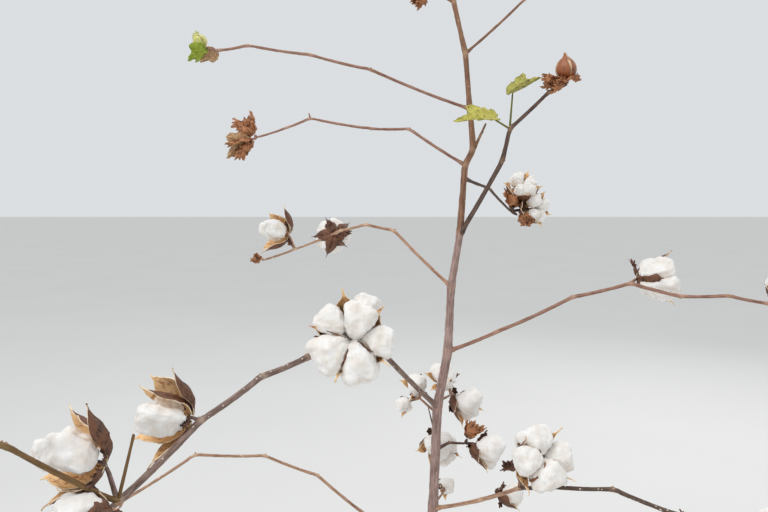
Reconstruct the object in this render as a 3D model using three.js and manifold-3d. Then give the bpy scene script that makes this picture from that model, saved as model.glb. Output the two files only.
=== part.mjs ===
// Cotton plant at harvest: a leaning main stem, fruiting boughs that zigzag from node to node,
// and the open bolls, dried bracts and few last leaves that they carry.
// Millimetres and degrees. X runs to the right, Y to the back, Z up from the ground.
import * as THREE from "three";
import { mergeVertices } from "three/addons/utils/BufferGeometryUtils.js";
import Module from "manifold-3d";

const wasm = await Module();
wasm.setup();

// Gap left where one piece is seated on another
const CLEARANCE = 0.3;
// How far before its last node a bough gives way to its spray
const SPRAY_STEP = 6;
// Slivers finer than this are smoothed away where pieces are joined
const SMOOTHING = 0.3;

// Main stem: [height, sideways lean] of the nodes at which it turns
const STEM_NODES = [
  [0, 0],
  [140, 12],
  [290, 20],
  [395, 31],
  [495, 37],
  [556, 43],
  [671, 47],
  [732, 58],
  [802, 61],
  [858, 70],
  [932, 75],
  [948, 84],
  [991, 80],
  [1049, 75],
  [1103, 62],
  [1178, 56],
  [1250, 46],
];
// Main stem: [height, diameter]
const STEM_TAPER = [
  [0, 13.5],
  [620, 10.2],
  [705, 9.6],
  [800, 8.1],
  [840, 7.5],
  [890, 6.8],
  [1000, 5.8],
  [1100, 5],
  [1250, 2.6],
];
const STEM_SWAY = 5;
const STEM_SWAY_LENGTH = 150;
const STEM_KNOB = 1.14;
const STEM_KNOB_LENGTH = 8;
const STEM_SIDES = 8;
// Root flare: how much it adds to the stem's diameter at the ground, and how fast it fades
const FLARE_WIDTH = 9;
const FLARE_FADE = 13;
const FLARE_HEIGHTS = [6, 15, 32, 60];
// The stem starts this far below the ground and is then cut level with it
const FOOT_DEPTH = 4;

const BOUGH_SIDES = 6;
const BOUGH_KNOB = 1.22;
const BOUGH_SAG = 0.015;
const TWIG_SIDES = 3;
const PEDUNCLE_SIDES = 3;
const PEDUNCLE_RADIUS = 1.3;
const PETIOLE_RADIUS = 0.8;
const STALK_SINK = 2;
const STALK_FOOT = 1.2;

// An open boll, in parts of its width across: white locks that bulge between deep valleys,
// and a pointed carpel tip standing out of each valley
const BOLL = { middle: 0.42, radius: 0.51, height: 0.4, valley: 0.66, crater: 0.62, stalk: 0.14 };
const BOLL_RINGS = 5;
const CARPEL_TIP = 0.6;
const CARPEL_RING = 2;
// The faces across one lock, and more of them from this width on
const LOCK_COLUMNS = 3;
const LOCK_COLUMNS_LARGE = 4;
const LARGE_BOLL = 50;
// How far a lock has fallen off towards its valley at a quarter of its width
const LOCK_FALL = 0.5;
// How much one lock is fuller than the next
const LOCK_SPREAD = 0.06;
// How far from the axis a blade is rooted, and how far its upper side is turned in to the axis
const BLADE_ROOT = 0.012;
const BLADE_TURN = 0.6;
const BRACT = { root: -0.04, reach: 0.38, up: 0.06, width: 0.3, thickness: 0.035, cup: 0.05, count: 3 };
const HUSK = { root: 0.03, reach: 0.38, up: 0.66, width: 0.46, thickness: 0.05, cup: 0.12, count: 3 };
// A closed or half-open boll: [radius, height] from its foot to its nose, in parts of its width
const POD_PROFILE = [
  [0, 0],
  [0.3, 0.08],
  [0.5, 0.42],
  [0.4, 0.8],
  [0.12, 1.08],
  [0, 1.3],
];
const POD_SIDES = 8;
const POD_BRACTS = 1.5;
// A leaf's outline from its tip round to its tip again: [forward, sideways], in parts of its length
const LEAF_OUTLINE = [
  [1, 0],
  [0.52, 0.2],
  [0.62, 0.52],
  [0.12, 0.42],
  [-0.06, 0],
  [0.12, -0.42],
  [0.62, -0.52],
  [0.52, -0.2],
];
const LEAF = { thickness: 0.045, middle: 0.32, cup: 0.07, droop: 0.18, spread: 0.08 };

const BARK = { color: 0x8a6a5c, roughness: 0.85, metalness: 0 };
const LINT = { color: 0xf0edeb, roughness: 0.95, metalness: 0 };
const LEAF_GREEN = { color: 0x9a9a3c, roughness: 0.75, metalness: 0 };

// What a node carries. "at" counts the nodes of the limb outward from the stem; "reach" is the stalk,
// as [length, azimuth, rise]; "faces" and "points" are the way a boll opens and a leaf runs, as
// [azimuth, rise], and "roll" turns the leaf about that way.
const boll = (at, size, reach, faces, locks = 5) => ({ kind: "boll", at, size, reach, faces, locks });
const pod = (at, size, reach) => ({ kind: "pod", at, size, reach });
const leaf = (at, length, reach, points, roll = 0) => ({ kind: "leaf", at, length, reach, points, roll });
const husk = (at, size, reach) => ({ kind: "husk", at, size, reach });
const spur = (at, reach) => ({ kind: "spur", at, reach });
// What hangs on a bough, before the node where its spray begins, is a piece with a name of its own
const own = (name, item) => ({ ...item, name });

// The limbs that show: the height of the stem's node, the diameters at root and tip, the internodes
// as [length, azimuth, rise], how many of them are bough, and what the nodes carry
const SEEN_LIMBS = [
  {
    name: "top_right", height: 1049, root: 2.8, tip: 2, bough: 1,
    internodes: [[87, 13, 42], [50, 5, 36], [36, 22, 25]],
    carries: [boll(3, 36, [12, 25, 50], [30, 60], 4), husk(2, 22, [10, 330, 60])],
  },
  {
    name: "upper_left", height: 991, root: 3.2, tip: 2.4, bough: 3,
    internodes: [[113, 188, 20], [63, 189, 12], [63, 189, 7], [29, 190, -12], [12, 195, 4]],
    carries: [
      leaf(5, 20, [5, 225, -20], [200, -30], 50),
      pod(5, 14, [6, 150, 40]),
      leaf(4, 17, [6, 165, -30], [170, -20], 40),
    ],
  },
  {
    name: "upper_stub", height: 948, root: 3, tip: 2, bough: 0,
    internodes: [[17, 318, 59], [14, 328, 63]],
    carries: [spur(1, [6, 20, 50])],
  },
  {
    name: "second_left", height: 932, root: 3.2, tip: 2.3, bough: 3,
    internodes: [[71, 172, 33], [41, 170, 1], [68, 176, 10], [27, 171, -21], [37, 170, -16]],
    carries: [
      husk(5, 34, [4, 165, 42]),
      husk(5, 32, [4, 185, -35]),
      leaf(5, 28, [12, 190, -25], [180, -32], 50),
      spur(3, [6, 160, 75]),
    ],
  },
  {
    name: "back_right", height: 918, root: 3.6, tip: 2.6, bough: 1,
    internodes: [[48, 48, -12], [52, 47, -31]],
    carries: [
      boll(2, 36, [31, 57, 32], [275, 50], 4),
      boll(2, 34, [30, 45, 4], [310, 5], 4),
      husk(2, 28, [6, 80, 50]),
      husk(2, 26, [10, 12, -28]),
    ],
  },
  {
    name: "dark_right", height: 858, root: 5.2, tip: 3, bough: 3,
    internodes: [[90, 340, 60], [33, 320, 76], [53, 338, 42], [19, 346, 22]],
    carries: [
      pod(4, 21, [5, 170, 85]),
      husk(4, 26, [3, 195, 5]),
      own("leaf_dark_right_upper", leaf(2, 34, [37, 340, 86], [350, 28], 20)),
      own("leaf_dark_right_lower", leaf(2, 40, [24, 205, 25], [190, 2], -25)),
    ],
  },
  {
    name: "third_left", height: 802, root: 3.5, tip: 2.3, bough: 3,
    internodes: [[90, 154, 41], [35, 155, 10], [34, 153, -13], [65, 156, -21], [46, 156, -18]],
    carries: [
      boll(3, 40, [10, 150, -30], [100, -8]),
      boll(4, 42, [22, 126, 49], [196, 12]),
      husk(5, 16, [4, 150, 10]),
    ],
  },
  {
    name: "middle_right", height: 732, root: 4, tip: 3.2, bough: 3,
    internodes: [
      [56, 354, 23], [88, 355, 26], [61, 352, 15],
      [52, 348, -14], [46, 354, 2], [39, 353, -11], [34, 345, -16],
    ],
    carries: [
      boll(3, 52, [38, 63, 1], [332, 8], 4),
      boll(6, 44, [14, 30, 20], [20, 30]),
      boll(7, 40, [12, 330, -10], [330, 10], 4),
    ],
  },
  {
    name: "front_left", height: 671, root: 5.4, tip: 4.4, bough: 5,
    internodes: [
      [109, 227, 40], [57, 230, 24], [58, 232, -7], [56, 234, -6], [76, 242, -13],
      [88, 245, -20], [86, 227, 39], [30, 200, 12],
    ],
    carries: [
      own("boll_front_left", boll(2, 74, [11.5, 286, 15], [272, 12], 6)),
      boll(5, 50, [7, 180, 22], [208, 14]),
      boll(6, 50, [26.4, 175, 74], [196, 20]),
      boll(6, 40, [7, 240, -10], [225, -15], 4),
      spur(6, [46, 345, 74]),
      boll(8, 36, [10, 170, 30], [180, 30], 4),
    ],
  },
  {
    name: "lower_right", height: 556, root: 4.2, tip: 4, bough: 2,
    internodes: [
      [59, 333, 20], [49, 325, 28], [37, 327, 14],
      [62, 325, 11], [62, 319, -7], [48, 326, -14],
    ],
    carries: [
      own("boll_lower_right", boll(1, 32, [46, 57, -11], [335, 0], 4)),
      boll(2, 63, [30, 303, 76], [298, 28]),
      boll(5, 44, [12, 300, -30], [290, -20]),
      boll(6, 42, [12, 340, 20], [340, 20], 4),
    ],
  },
  {
    name: "lower_left", height: 495, root: 3.4, tip: 2.4, bough: 3,
    internodes: [
      [96, 196, 41], [72, 203, 44], [64, 206, 28],
      [72, 210, 11], [77, 223, -19], [44, 212, -30],
    ],
    carries: [boll(6, 40, [10, 200, -20], [205, -20], 4), husk(5, 22, [7, 260, -40])],
  },
  {
    name: "inner_right", height: 678, root: 3, tip: 2.2, bough: 0,
    internodes: [[40, 65, -5]],
    carries: [boll(1, 42, [36, 76, -16], [310, -20]), boll(1, 34, [29, 93, 14], [240, 35], 4)],
  },
  {
    name: "inner_left", height: 664, root: 3, tip: 2.2, bough: 0,
    internodes: [[46, 112, 6]],
    carries: [boll(1, 32, [31, 84, 6], [247, 24], 4), boll(1, 23, [24, 118, -22], [228, -14], 4)],
  },
  {
    name: "near_right", height: 623, root: 3.2, tip: 2.6, bough: 0,
    internodes: [[20, 38, 11], [22, 28, -12]],
    carries: [boll(2, 42, [14, 34, -11], [320, -15]), husk(2, 26, [6, 20, 60])],
  },
  {
    name: "behind_stem", height: 610, root: 3, tip: 2.4, bough: 0,
    internodes: [[24, 90, 0]],
    carries: [boll(1, 44, [46, 83, 1], [280, -10])],
  },
  {
    name: "small_back", height: 560, root: 2.6, tip: 2, bough: 0,
    internodes: [[44, 70, -2]],
    carries: [boll(1, 24, [27, 88, -5], [290, 10], 4)],
  },
  {
    name: "top_left", height: 1103, root: 3, tip: 1.9, bough: 1,
    internodes: [[34, 174, 28], [46, 166, 34], [38, 180, 18]],
    carries: [
      husk(1, 22, [5, 190, -72]),
      husk(2, 20, [7, 110, 20]),
      boll(3, 32, [9, 190, 35], [190, 30], 4),
    ],
  },
  {
    name: "stem_tip", height: 1240, root: 2.6, tip: 1.6, bough: 0,
    internodes: [[16, 70, 62], [11, 215, 70]],
    carries: [
      pod(2, 9, [4, 120, 75]),
      leaf(1, 24, [9, 330, 40], [320, 5], 20),
      leaf(2, 20, [8, 180, 35], [170, -5]),
    ],
  },
  {
    name: "dead_twig", height: 636, root: 2, tip: 1.4, bough: 0,
    internodes: [[35, 130, 68]],
    carries: [],
  },
];

// The limbs above and below what shows follow one rule from these:
// [name, height of the stem's node, azimuth, first rise, length, number of internodes]
const RULED_LIMBS = [
  ["crown_back", 1140, 84, 40, 150, 4],
  ["crown_front", 1178, 306, 36, 120, 3],
  ["crown_tip", 1214, 205, 44, 80, 3],
  ["skirt_back", 446, 66, -2, 250, 5],
  ["skirt_front", 420, 292, 30, 300, 6],
  ["base_left", 372, 158, 12, 310, 6],
  ["base_right", 326, 14, 16, 330, 6],
  ["base_front", 276, 244, 20, 330, 6],
  ["base_back", 226, 104, 14, 320, 6],
];
// From this height up they are crown limbs, with husks and one small boll each
const CROWN_FOOT = 1090;
// Diameters at root and tip
const CROWN_THICKNESS = [3.2, 1.9];
const SKIRT_THICKNESS = [4.6, 2.4];
const RULED_ZIGZAG = 10;
const RULED_DROP = 8;
const RULED_JOG = 3;
// The last internodes of a ruled limb, which are its spray
const RULED_SPRAY = 3;
// The bolls' stalks leave a ruled limb at this turn from it, rise by this much, and are this long
// for the boll's width
const STALK_TURN = 65;
const STALK_RISE = 30;
const STALK_LENGTH = 0.3;
const CROWN_BOLL = 30;
const SKIRT_BOLL = 42;
const HUSK_STALK = 7;
const RULED_SHORTENING = 0.86;

// Numbers from 0 to 1 that one seed gives, the same each time
function seeded(seed) {
  const whole = 2 ** 32;
  let state = seed * 7919 + 17;
  return () => {
    state = (state * 1664525 + 1013904223) % whole;
    return state / whole;
  };
}

// A factor of 1, give or take the spread
const vary = (chance, spread) => 1 + spread * (2 * chance() - 1);

const radians = THREE.MathUtils.degToRad;

// The value at x in a table of [x, value] pairs
function along(table, x) {
  const last = table.length - 2;
  const i = Math.min(last, Math.max(0, table.findIndex((row) => row[0] >= x) - 1));
  const [x0, a] = table[i];
  const [x1, b] = table[i + 1];
  return a + ((b - a) * (x - x0)) / (x1 - x0);
}

function heading(azimuth, rise) {
  const level = Math.cos(radians(rise));
  return new THREE.Vector3(
    level * Math.cos(radians(azimuth)),
    level * Math.sin(radians(azimuth)),
    Math.sin(radians(rise)),
  );
}

function stemPoint(height) {
  const sway = STEM_SWAY * Math.sin(height / STEM_SWAY_LENGTH);
  return new THREE.Vector3(along(STEM_NODES, height), sway, height);
}

function stemRadius(height) {
  return (along(STEM_TAPER, height) + FLARE_WIDTH * Math.exp(-height / FLARE_FADE)) / 2;
}

// Closed geometry as a solid that can be joined and cut
function solidOf(geometry) {
  const bare = geometry.clone();
  bare.deleteAttribute("normal");
  bare.deleteAttribute("uv");
  const merged = mergeVertices(bare, 1e-4);
  return new wasm.Manifold(
    new wasm.Mesh({
      numProp: 3,
      vertProperties: new Float32Array(merged.attributes.position.array),
      triVerts: new Uint32Array(merged.index.array),
    }),
  );
}

// A closed tube bent along its points, with a radius at each
function tube(points, radii, sides) {
  const rings = points.length - 1;
  const geometry = new THREE.CylinderGeometry(1, 1, 1, sides, rings);
  const place = geometry.attributes.position;
  const side = new THREE.Vector3(0.31, 1, 0.17);
  const frames = points.map((point, i) => {
    const tangent = points[Math.min(i + 1, rings)].clone().sub(points[Math.max(i - 1, 0)]).normalize();
    side.addScaledVector(tangent, -side.dot(tangent)).normalize();
    return { side: side.clone(), back: side.clone().cross(tangent) };
  });
  const v = new THREE.Vector3();
  for (let i = 0; i < place.count; i++) {
    v.fromBufferAttribute(place, i);
    const ring = Math.round((v.y + 0.5) * rings);
    const [x, z] = [v.x * radii[ring], v.z * radii[ring]];
    v.copy(points[ring]).addScaledVector(frames[ring].side, x).addScaledVector(frames[ring].back, z);
    place.setXYZ(i, v.x, v.y, v.z);
  }
  return solidOf(geometry);
}

// A thin closed body fanned from a middle above and below to the points of its outline
function fan(outline, above, below) {
  const geometry = new THREE.SphereGeometry(1, outline.length, 2);
  const place = geometry.attributes.position;
  for (let i = 0; i < place.count; i++) {
    const [x, y, z] = [place.getX(i), place.getY(i), place.getZ(i)];
    const turn = Math.round((Math.atan2(z, -x) / (Math.PI * 2)) * outline.length + outline.length);
    const point = y > 0.5 ? above : y < -0.5 ? below : outline[turn % outline.length];
    place.setXYZ(i, point.x, point.y, point.z);
  }
  return solidOf(geometry);
}

// A pointed blade of eight faces from root to tip, cupped towards its lower side
function blade(root, tip, upper, width, thickness, cup) {
  const spine = tip.clone().sub(root);
  const across = upper.clone().cross(spine).normalize();
  const up = spine.clone().cross(across).normalize();
  const middle = root.clone().lerp(tip, 0.45).addScaledVector(up, -cup);
  const edge = (side) => root.clone().lerp(tip, 0.5).addScaledVector(across, (side * width) / 2);
  const face = (side) => middle.clone().addScaledVector(up, (side * thickness) / 2);
  return fan([tip, edge(1), root, edge(-1)], face(1), face(-1));
}

// Joins solids that meet, with sealed hollows filled and loose scraps dropped
function fuse(solids) {
  const pieces = wasm.Manifold.union(solids).simplify(SMOOTHING).decompose();
  return pieces.reduce((best, piece) => (piece.volume() > best.volume() ? piece : best));
}

function touches(solid, others) {
  const a = solid.boundingBox();
  return others.some((other) => {
    const b = other.boundingBox();
    const apart = [0, 1, 2].some((k) => a.min[k] > b.max[k] || b.min[k] > a.max[k]);
    return !apart && solid.intersect(other).volume() > 0;
  });
}

// A frame whose Z runs along the direction, turned about it by spin
function bollFrame(base, direction, spin) {
  const turn = new THREE.Quaternion().setFromUnitVectors(new THREE.Vector3(0, 0, 1), direction);
  const twist = new THREE.Quaternion().setFromAxisAngle(new THREE.Vector3(0, 0, 1), spin);
  return new THREE.Matrix4().compose(base, turn.multiply(twist), new THREE.Vector3(1, 1, 1));
}

// A ring of blades round the boll's axis, from its base outward
function bladeRing(frame, count, offset, size, form, chance) {
  const blades = [];
  for (let i = 0; i < count; i++) {
    const angle = ((i + offset * vary(chance, 0.3)) / count) * Math.PI * 2;
    const stretch = vary(chance, 0.07);
    const out = new THREE.Vector3(Math.cos(angle), Math.sin(angle), 0);
    const root = new THREE.Vector3(0, 0, size * form.root);
    root.addScaledVector(out, size * BLADE_ROOT).applyMatrix4(frame);
    const tip = out.clone().multiplyScalar(size * form.reach * stretch);
    tip.z = size * form.up;
    const upper = new THREE.Vector3(0, 0, 1).addScaledVector(out, -BLADE_TURN).transformDirection(frame);
    tip.applyMatrix4(frame);
    blades.push(blade(root, tip, upper, size * form.width, size * form.thickness, size * form.cup));
  }
  return blades;
}

// An open boll: its lobed white body with the carpel tips drawn out of it
function bollSolids(base, direction, size, locks, chance) {
  const frame = bollFrame(base, direction, chance() * Math.PI * 2);
  const swell = Array.from({ length: locks }, () => vary(chance, LOCK_SPREAD));
  const across = size >= LARGE_BOLL ? LOCK_COLUMNS_LARGE : LOCK_COLUMNS;
  const columns = locks * across;
  const geometry = new THREE.SphereGeometry(1, columns, BOLL_RINGS);
  const place = geometry.attributes.position;
  for (let i = 0; i < place.count; i++) {
    const [x, up, z] = [place.getX(i), place.getY(i), place.getZ(i)];
    const column = Math.round((Math.atan2(-z, x) / (Math.PI * 2)) * columns + columns) % columns;
    const ring = Math.round((Math.acos(THREE.MathUtils.clamp(up, -1, 1)) / Math.PI) * BOLL_RINGS);
    // 0 in the valley beside a lock and 1 on the lock's middle
    const bulge = Math.sin((column / across) * Math.PI) ** 2;
    const lock = Math.floor(column / across);
    const valley = bulge < 0.1;
    const lobe = valley ? BOLL.valley : (1 - (1 - BOLL.valley) * LOCK_FALL * (1 - bulge)) * swell[lock];
    const round = ring === 0 ? BOLL.crater : ring === BOLL_RINGS ? 1 : lobe;
    const out = ring === CARPEL_RING && valley ? CARPEL_TIP : BOLL.radius * round;
    const high = BOLL.middle + up * BOLL.height * round;
    place.setXYZ(i, x * out * size, -z * out * size, high * size);
  }
  geometry.applyMatrix4(frame);
  return [solidOf(geometry)];
}

// A closed or half-open boll: a pointed egg in a ring of bracts
function podSolids(base, direction, size, chance) {
  const frame = bollFrame(base, direction, chance() * Math.PI * 2);
  const profile = POD_PROFILE.map(([radius, height]) => new THREE.Vector2(radius * size, height * size));
  const egg = new THREE.LatheGeometry(profile, POD_SIDES);
  egg.rotateX(Math.PI / 2);
  egg.applyMatrix4(frame);
  return [solidOf(egg), ...bladeRing(frame, BRACT.count, 0, size * POD_BRACTS, BRACT, chance)];
}

// Dried bracts with no boll left: a tuft of curled blades
function huskSolids(base, direction, size, chance) {
  const frame = bollFrame(base, direction, chance() * Math.PI * 2);
  return bladeRing(frame, HUSK.count, 0, size, HUSK, chance);
}

// A leaf of three lobes, drooping towards its tips
function leafSolids(base, direction, length, roll, chance) {
  const across = new THREE.Vector3(0, 0, 1).cross(direction).normalize();
  across.applyAxisAngle(direction, radians(roll));
  const up = direction.clone().cross(across).normalize();
  const spot = (forward, sideways, lift) =>
    base
      .clone()
      .addScaledVector(direction, forward * length)
      .addScaledVector(across, sideways * length)
      .addScaledVector(up, lift * length);
  const outline = LEAF_OUTLINE.map(([forward, sideways]) => {
    const stretch = vary(chance, LEAF.spread);
    const away = Math.hypot(forward, sideways) * stretch;
    return spot(forward * stretch, sideways * stretch, -LEAF.droop * away * away);
  });
  const half = LEAF.thickness / 2;
  return [fan(outline, spot(LEAF.middle, 0, LEAF.cup + half), spot(LEAF.middle, 0, LEAF.cup - half))];
}

// The rule for limbs out of sight: internodes that shorten, zigzag and droop outward,
// with a husk where the spray begins and a boll at each node beyond, on the crown only at the last
function ruledLimb([name, height, azimuth, rise, length, count], number) {
  const chance = seeded(number + 40);
  const crown = height > CROWN_FOOT;
  const whole = (1 - RULED_SHORTENING ** count) / (1 - RULED_SHORTENING);
  const internodes = [];
  for (let i = 0; i < count; i++) {
    const side = i % 2 ? -1 : 1;
    internodes.push([
      (length / whole) * RULED_SHORTENING ** i,
      azimuth + side * RULED_ZIGZAG * vary(chance, 0.4),
      rise - RULED_DROP * i + side * RULED_JOG,
    ]);
  }
  const bough = Math.max(1, count - RULED_SPRAY);
  const carries = [];
  for (let at = bough; at <= count; at++) {
    const side = at % 2 ? -1 : 1;
    const turn = azimuth + side * STALK_TURN * vary(chance, 0.25);
    const lift = STALK_RISE * vary(chance, 0.6);
    const size = (crown ? CROWN_BOLL : SKIRT_BOLL) * vary(chance, 0.16);
    const locks = chance() < 0.4 ? 4 : 5;
    if (at === bough || (crown && at < count)) carries.push(husk(at, size * 0.7, [HUSK_STALK, turn, lift]));
    else carries.push(boll(at, size, [size * STALK_LENGTH, turn, lift], [turn, lift], locks));
  }
  const [root, tip] = crown ? CROWN_THICKNESS : SKIRT_THICKNESS;
  return { name, height, root, tip, bough, internodes, carries };
}

// The nodes of a limb, from the stem's middle outward
function limbNodes(limb) {
  const nodes = [stemPoint(limb.height)];
  for (const [length, azimuth, rise] of limb.internodes) {
    nodes.push(nodes.at(-1).clone().addScaledVector(heading(azimuth, rise), length));
  }
  return nodes;
}

// The stretch of a limb from one of its nodes to another, as points and radii
function limbStretch(limb, nodes, first, last, knob) {
  const points = [];
  const radii = [];
  const total = nodes.length - 1;
  const radius = (t) => (limb.root + ((limb.tip - limb.root) * t) / total) / 2;
  for (let i = first; i <= last; i++) {
    points.push(nodes[i].clone());
    radii.push(radius(i) * (i === 0 || i === total ? 1 : knob));
    if (i < last) {
      const middle = nodes[i].clone().lerp(nodes[i + 1], 0.5);
      middle.z -= nodes[i].distanceTo(nodes[i + 1]) * BOUGH_SAG;
      points.push(middle);
      radii.push(radius(i + 0.5));
    }
  }
  return { points, radii };
}

// The same stretch, grown all round and past its far end by the clearance
function grown({ points, radii }, sides) {
  const longer = points.map((point) => point.clone());
  const end = longer.at(-1);
  end.addScaledVector(end.clone().sub(longer.at(-2)).normalize(), CLEARANCE);
  // A flat-sided tube is grown by more at its corners, so that its faces stand off by the clearance
  const add = CLEARANCE / Math.cos(Math.PI / sides);
  return tube(longer, radii.map((radius) => radius + add), sides);
}

function mainStem() {
  const heights = new Set([-FOOT_DEPTH, ...FLARE_HEIGHTS]);
  const last = STEM_NODES.at(-1)[0];
  for (const [height] of STEM_NODES) {
    heights.add(height);
    if (height === 0 || height === last) continue;
    heights.add(height + STEM_KNOB_LENGTH);
  }
  const sorted = [...heights].sort((a, b) => a - b);
  const knobs = new Set(STEM_NODES.slice(1, -1).map((row) => row[0]));
  return {
    points: sorted.map(stemPoint),
    radii: sorted.map((height) => stemRadius(height) * (knobs.has(height) ? STEM_KNOB : 1)),
  };
}

// Cuts the stem level with the ground, at height 0
function levelFoot(solid) {
  const side = 60;
  const block = new THREE.BoxGeometry(side, side, side);
  block.translate(0, 0, -side / 2);
  return solid.subtract(solidOf(block));
}

function meshOf(solid, name, finish, origin) {
  const { vertProperties, triVerts } = solid.getMesh();
  const geometry = new THREE.BufferGeometry();
  geometry.setAttribute("position", new THREE.BufferAttribute(new Float32Array(vertProperties), 3));
  geometry.setIndex(new THREE.BufferAttribute(new Uint32Array(triVerts), 1));
  geometry.translate(-origin.x, -origin.y, -origin.z);
  geometry.computeVertexNormals();
  const mesh = new THREE.Mesh(geometry, new THREE.MeshStandardMaterial(finish));
  mesh.name = name;
  return mesh;
}

// What hangs on one node: its short stalk first, then the fruit or leaf at the stalk's end
function carried(item, node, chance) {
  const [length, azimuth, rise] = item.reach;
  const way = heading(azimuth, rise);
  const base = node.clone().addScaledVector(way, length);
  const thick = item.kind === "leaf" ? PETIOLE_RADIUS : PEDUNCLE_RADIUS;
  const points = [node, base];
  // The stalk runs on into what it carries
  if (item.kind === "boll") {
    points.push(base.clone().addScaledVector(heading(...item.faces), BOLL.stalk * item.size));
  } else if (item.kind !== "spur") {
    points.push(base.clone().addScaledVector(way, STALK_SINK));
  }
  const stalk = tube(points, points.map((_, i) => (i ? thick : thick * STALK_FOOT)), PEDUNCLE_SIDES);
  const make = {
    boll: () => bollSolids(base, heading(...item.faces), item.size, item.locks, chance),
    pod: () => podSolids(base, way, item.size, chance),
    husk: () => huskSolids(base, way, item.size, chance),
    leaf: () => leafSolids(base, heading(...item.points), item.length, item.roll, chance),
    spur: () => [],
  };
  return { stalk, fruit: make[item.kind]() };
}

const plant = new THREE.Group();
const stemTube = mainStem();
const stemSolid = levelFoot(tube(stemTube.points, stemTube.radii, STEM_SIDES));
const stemGrown = grown(stemTube, STEM_SIDES);
plant.add(meshOf(stemSolid, "main_stem", BARK, new THREE.Vector3()));

const limbs = [...SEEN_LIMBS, ...RULED_LIMBS.map(ruledLimb)];
const boughs = new Map();
for (const limb of limbs) {
  limb.nodes = limbNodes(limb);
  if (!limb.bough) continue;
  const stretch = limbStretch(limb, limb.nodes, 0, limb.bough, BOUGH_KNOB);
  // The bough stops a little before the node from which its spray grows
  const end = stretch.points.at(-1);
  end.addScaledVector(end.clone().sub(stretch.points.at(-2)).normalize(), -SPRAY_STEP);
  stretch.radii[stretch.radii.length - 1] /= BOUGH_KNOB;
  limb.end = end.clone();
  limb.grown = grown(stretch, BOUGH_SIDES);
  boughs.set(limb.name, fuse([tube(stretch.points, stretch.radii, BOUGH_SIDES).subtract(stemGrown)]));
}

// Everything placed so far, by name, that a later piece has to stay clear of
const placed = new Map([["main_stem", stemSolid]]);
for (const [name, solid] of boughs) placed.set("bough_" + name, solid);

limbs.forEach((limb, number) => {
  const chance = seeded(number + 1);
  const group = new THREE.Group();
  const origin = limb.nodes[0];
  group.position.copy(origin);
  plant.add(group);
  if (limb.bough) group.add(meshOf(boughs.get(limb.name), "bough_" + limb.name, BARK, origin));

  const twig = limbStretch(limb, limb.nodes, limb.bough, limb.nodes.length - 1, BOUGH_KNOB);
  if (limb.bough) {
    twig.points.unshift(limb.end);
    twig.radii.unshift(twig.radii[0] / BOUGH_KNOB);
  }
  const carriers = limb.bough ? [limb.grown, stemGrown] : [stemGrown];
  const cleared = (solids) => fuse([carriers.reduce((left, cut) => left.subtract(cut), fuse(solids))]);
  const ownBough = "bough_" + limb.name;
  const others = () => [...placed].filter(([name]) => name !== ownBough).map(([, solid]) => solid);
  const spray = [tube(twig.points, twig.radii, TWIG_SIDES)];
  for (const item of limb.carries) {
    const { stalk, fruit } = carried(item, limb.nodes[item.at], chance);
    if (item.name) {
      const piece = cleared([stalk, ...fruit]);
      placed.set(item.name, piece);
      group.add(meshOf(piece, item.name, item.kind === "boll" ? LINT : LEAF_GREEN, origin));
      continue;
    }
    const limits = limb.bough ? [...others(), limb.grown] : others();
    if (!fruit.length || !touches(fuse(fruit), limits)) spray.push(stalk, ...fruit);
  }
  const solid = cleared(spray);
  placed.set("spray_" + limb.name, solid);
  group.add(meshOf(solid, "spray_" + limb.name, LINT, origin));
});

export default plant;
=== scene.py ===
# A cotton plant ready for harvest: a leaning stem, zigzag fruiting boughs, open bolls and a few last leaves.
import math

import bpy
from mathutils import Matrix, Vector


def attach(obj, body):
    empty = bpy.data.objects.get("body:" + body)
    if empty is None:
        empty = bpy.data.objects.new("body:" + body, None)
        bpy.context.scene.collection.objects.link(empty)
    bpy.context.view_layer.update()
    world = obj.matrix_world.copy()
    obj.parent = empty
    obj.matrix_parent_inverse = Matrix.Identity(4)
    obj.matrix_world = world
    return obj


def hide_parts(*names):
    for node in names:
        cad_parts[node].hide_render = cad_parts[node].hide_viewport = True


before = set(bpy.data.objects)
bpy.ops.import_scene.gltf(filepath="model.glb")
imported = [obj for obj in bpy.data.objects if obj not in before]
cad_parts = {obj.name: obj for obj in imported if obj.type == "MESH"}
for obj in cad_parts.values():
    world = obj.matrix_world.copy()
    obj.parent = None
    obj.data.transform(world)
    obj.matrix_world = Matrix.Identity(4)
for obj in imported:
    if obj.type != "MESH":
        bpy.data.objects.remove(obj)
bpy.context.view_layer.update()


# Camera, floor and light
# The camera stands 0.8 m in front of the plant, at the height of its upper boughs, and looks slightly down.
# The light is that of a bright overcast day: a wide pale sky, strongest from above and the front left.
EYE = (-0.011, -0.8, 0.9)
LENS = 35
SENSOR = 36
PICTURE_WIDTH = 768
# How many pixels the photo's horizon lies above its middle
HORIZON = 61
LOOK_DOWN = math.atan(HORIZON / (LENS / SENSOR * PICTURE_WIDTH))
bpy.ops.object.camera_add(location=EYE, rotation=(math.radians(90) - LOOK_DOWN, 0, 0))
camera = bpy.context.object
camera.data.lens = LENS
camera.data.sensor_width = SENSOR
camera.data.clip_start = 0.02
bpy.context.scene.camera = camera
bpy.context.scene.view_settings.view_transform = "Standard"


def linear(colour):
    """A colour such as "#8a7068" as the red, green, blue and alpha that a shader takes."""
    channels = [int(colour[i : i + 2], 16) / 255 for i in (1, 3, 5)]
    return [c / 12.92 if c <= 0.04045 else ((c + 0.055) / 1.055) ** 2.4 for c in channels] + [1]


def add(tree, kind, settings={}, values={}, links={}):
    """Adds a node, with its settings, the values of its sockets, and what feeds them."""
    node = tree.nodes.new(kind)
    for name, setting in settings.items():
        setattr(node, name, setting)
    for name, value in values.items():
        node.inputs[name].default_value = value
    for name, source in links.items():
        tree.links.new(source, node.inputs[name])
    return node


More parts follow.
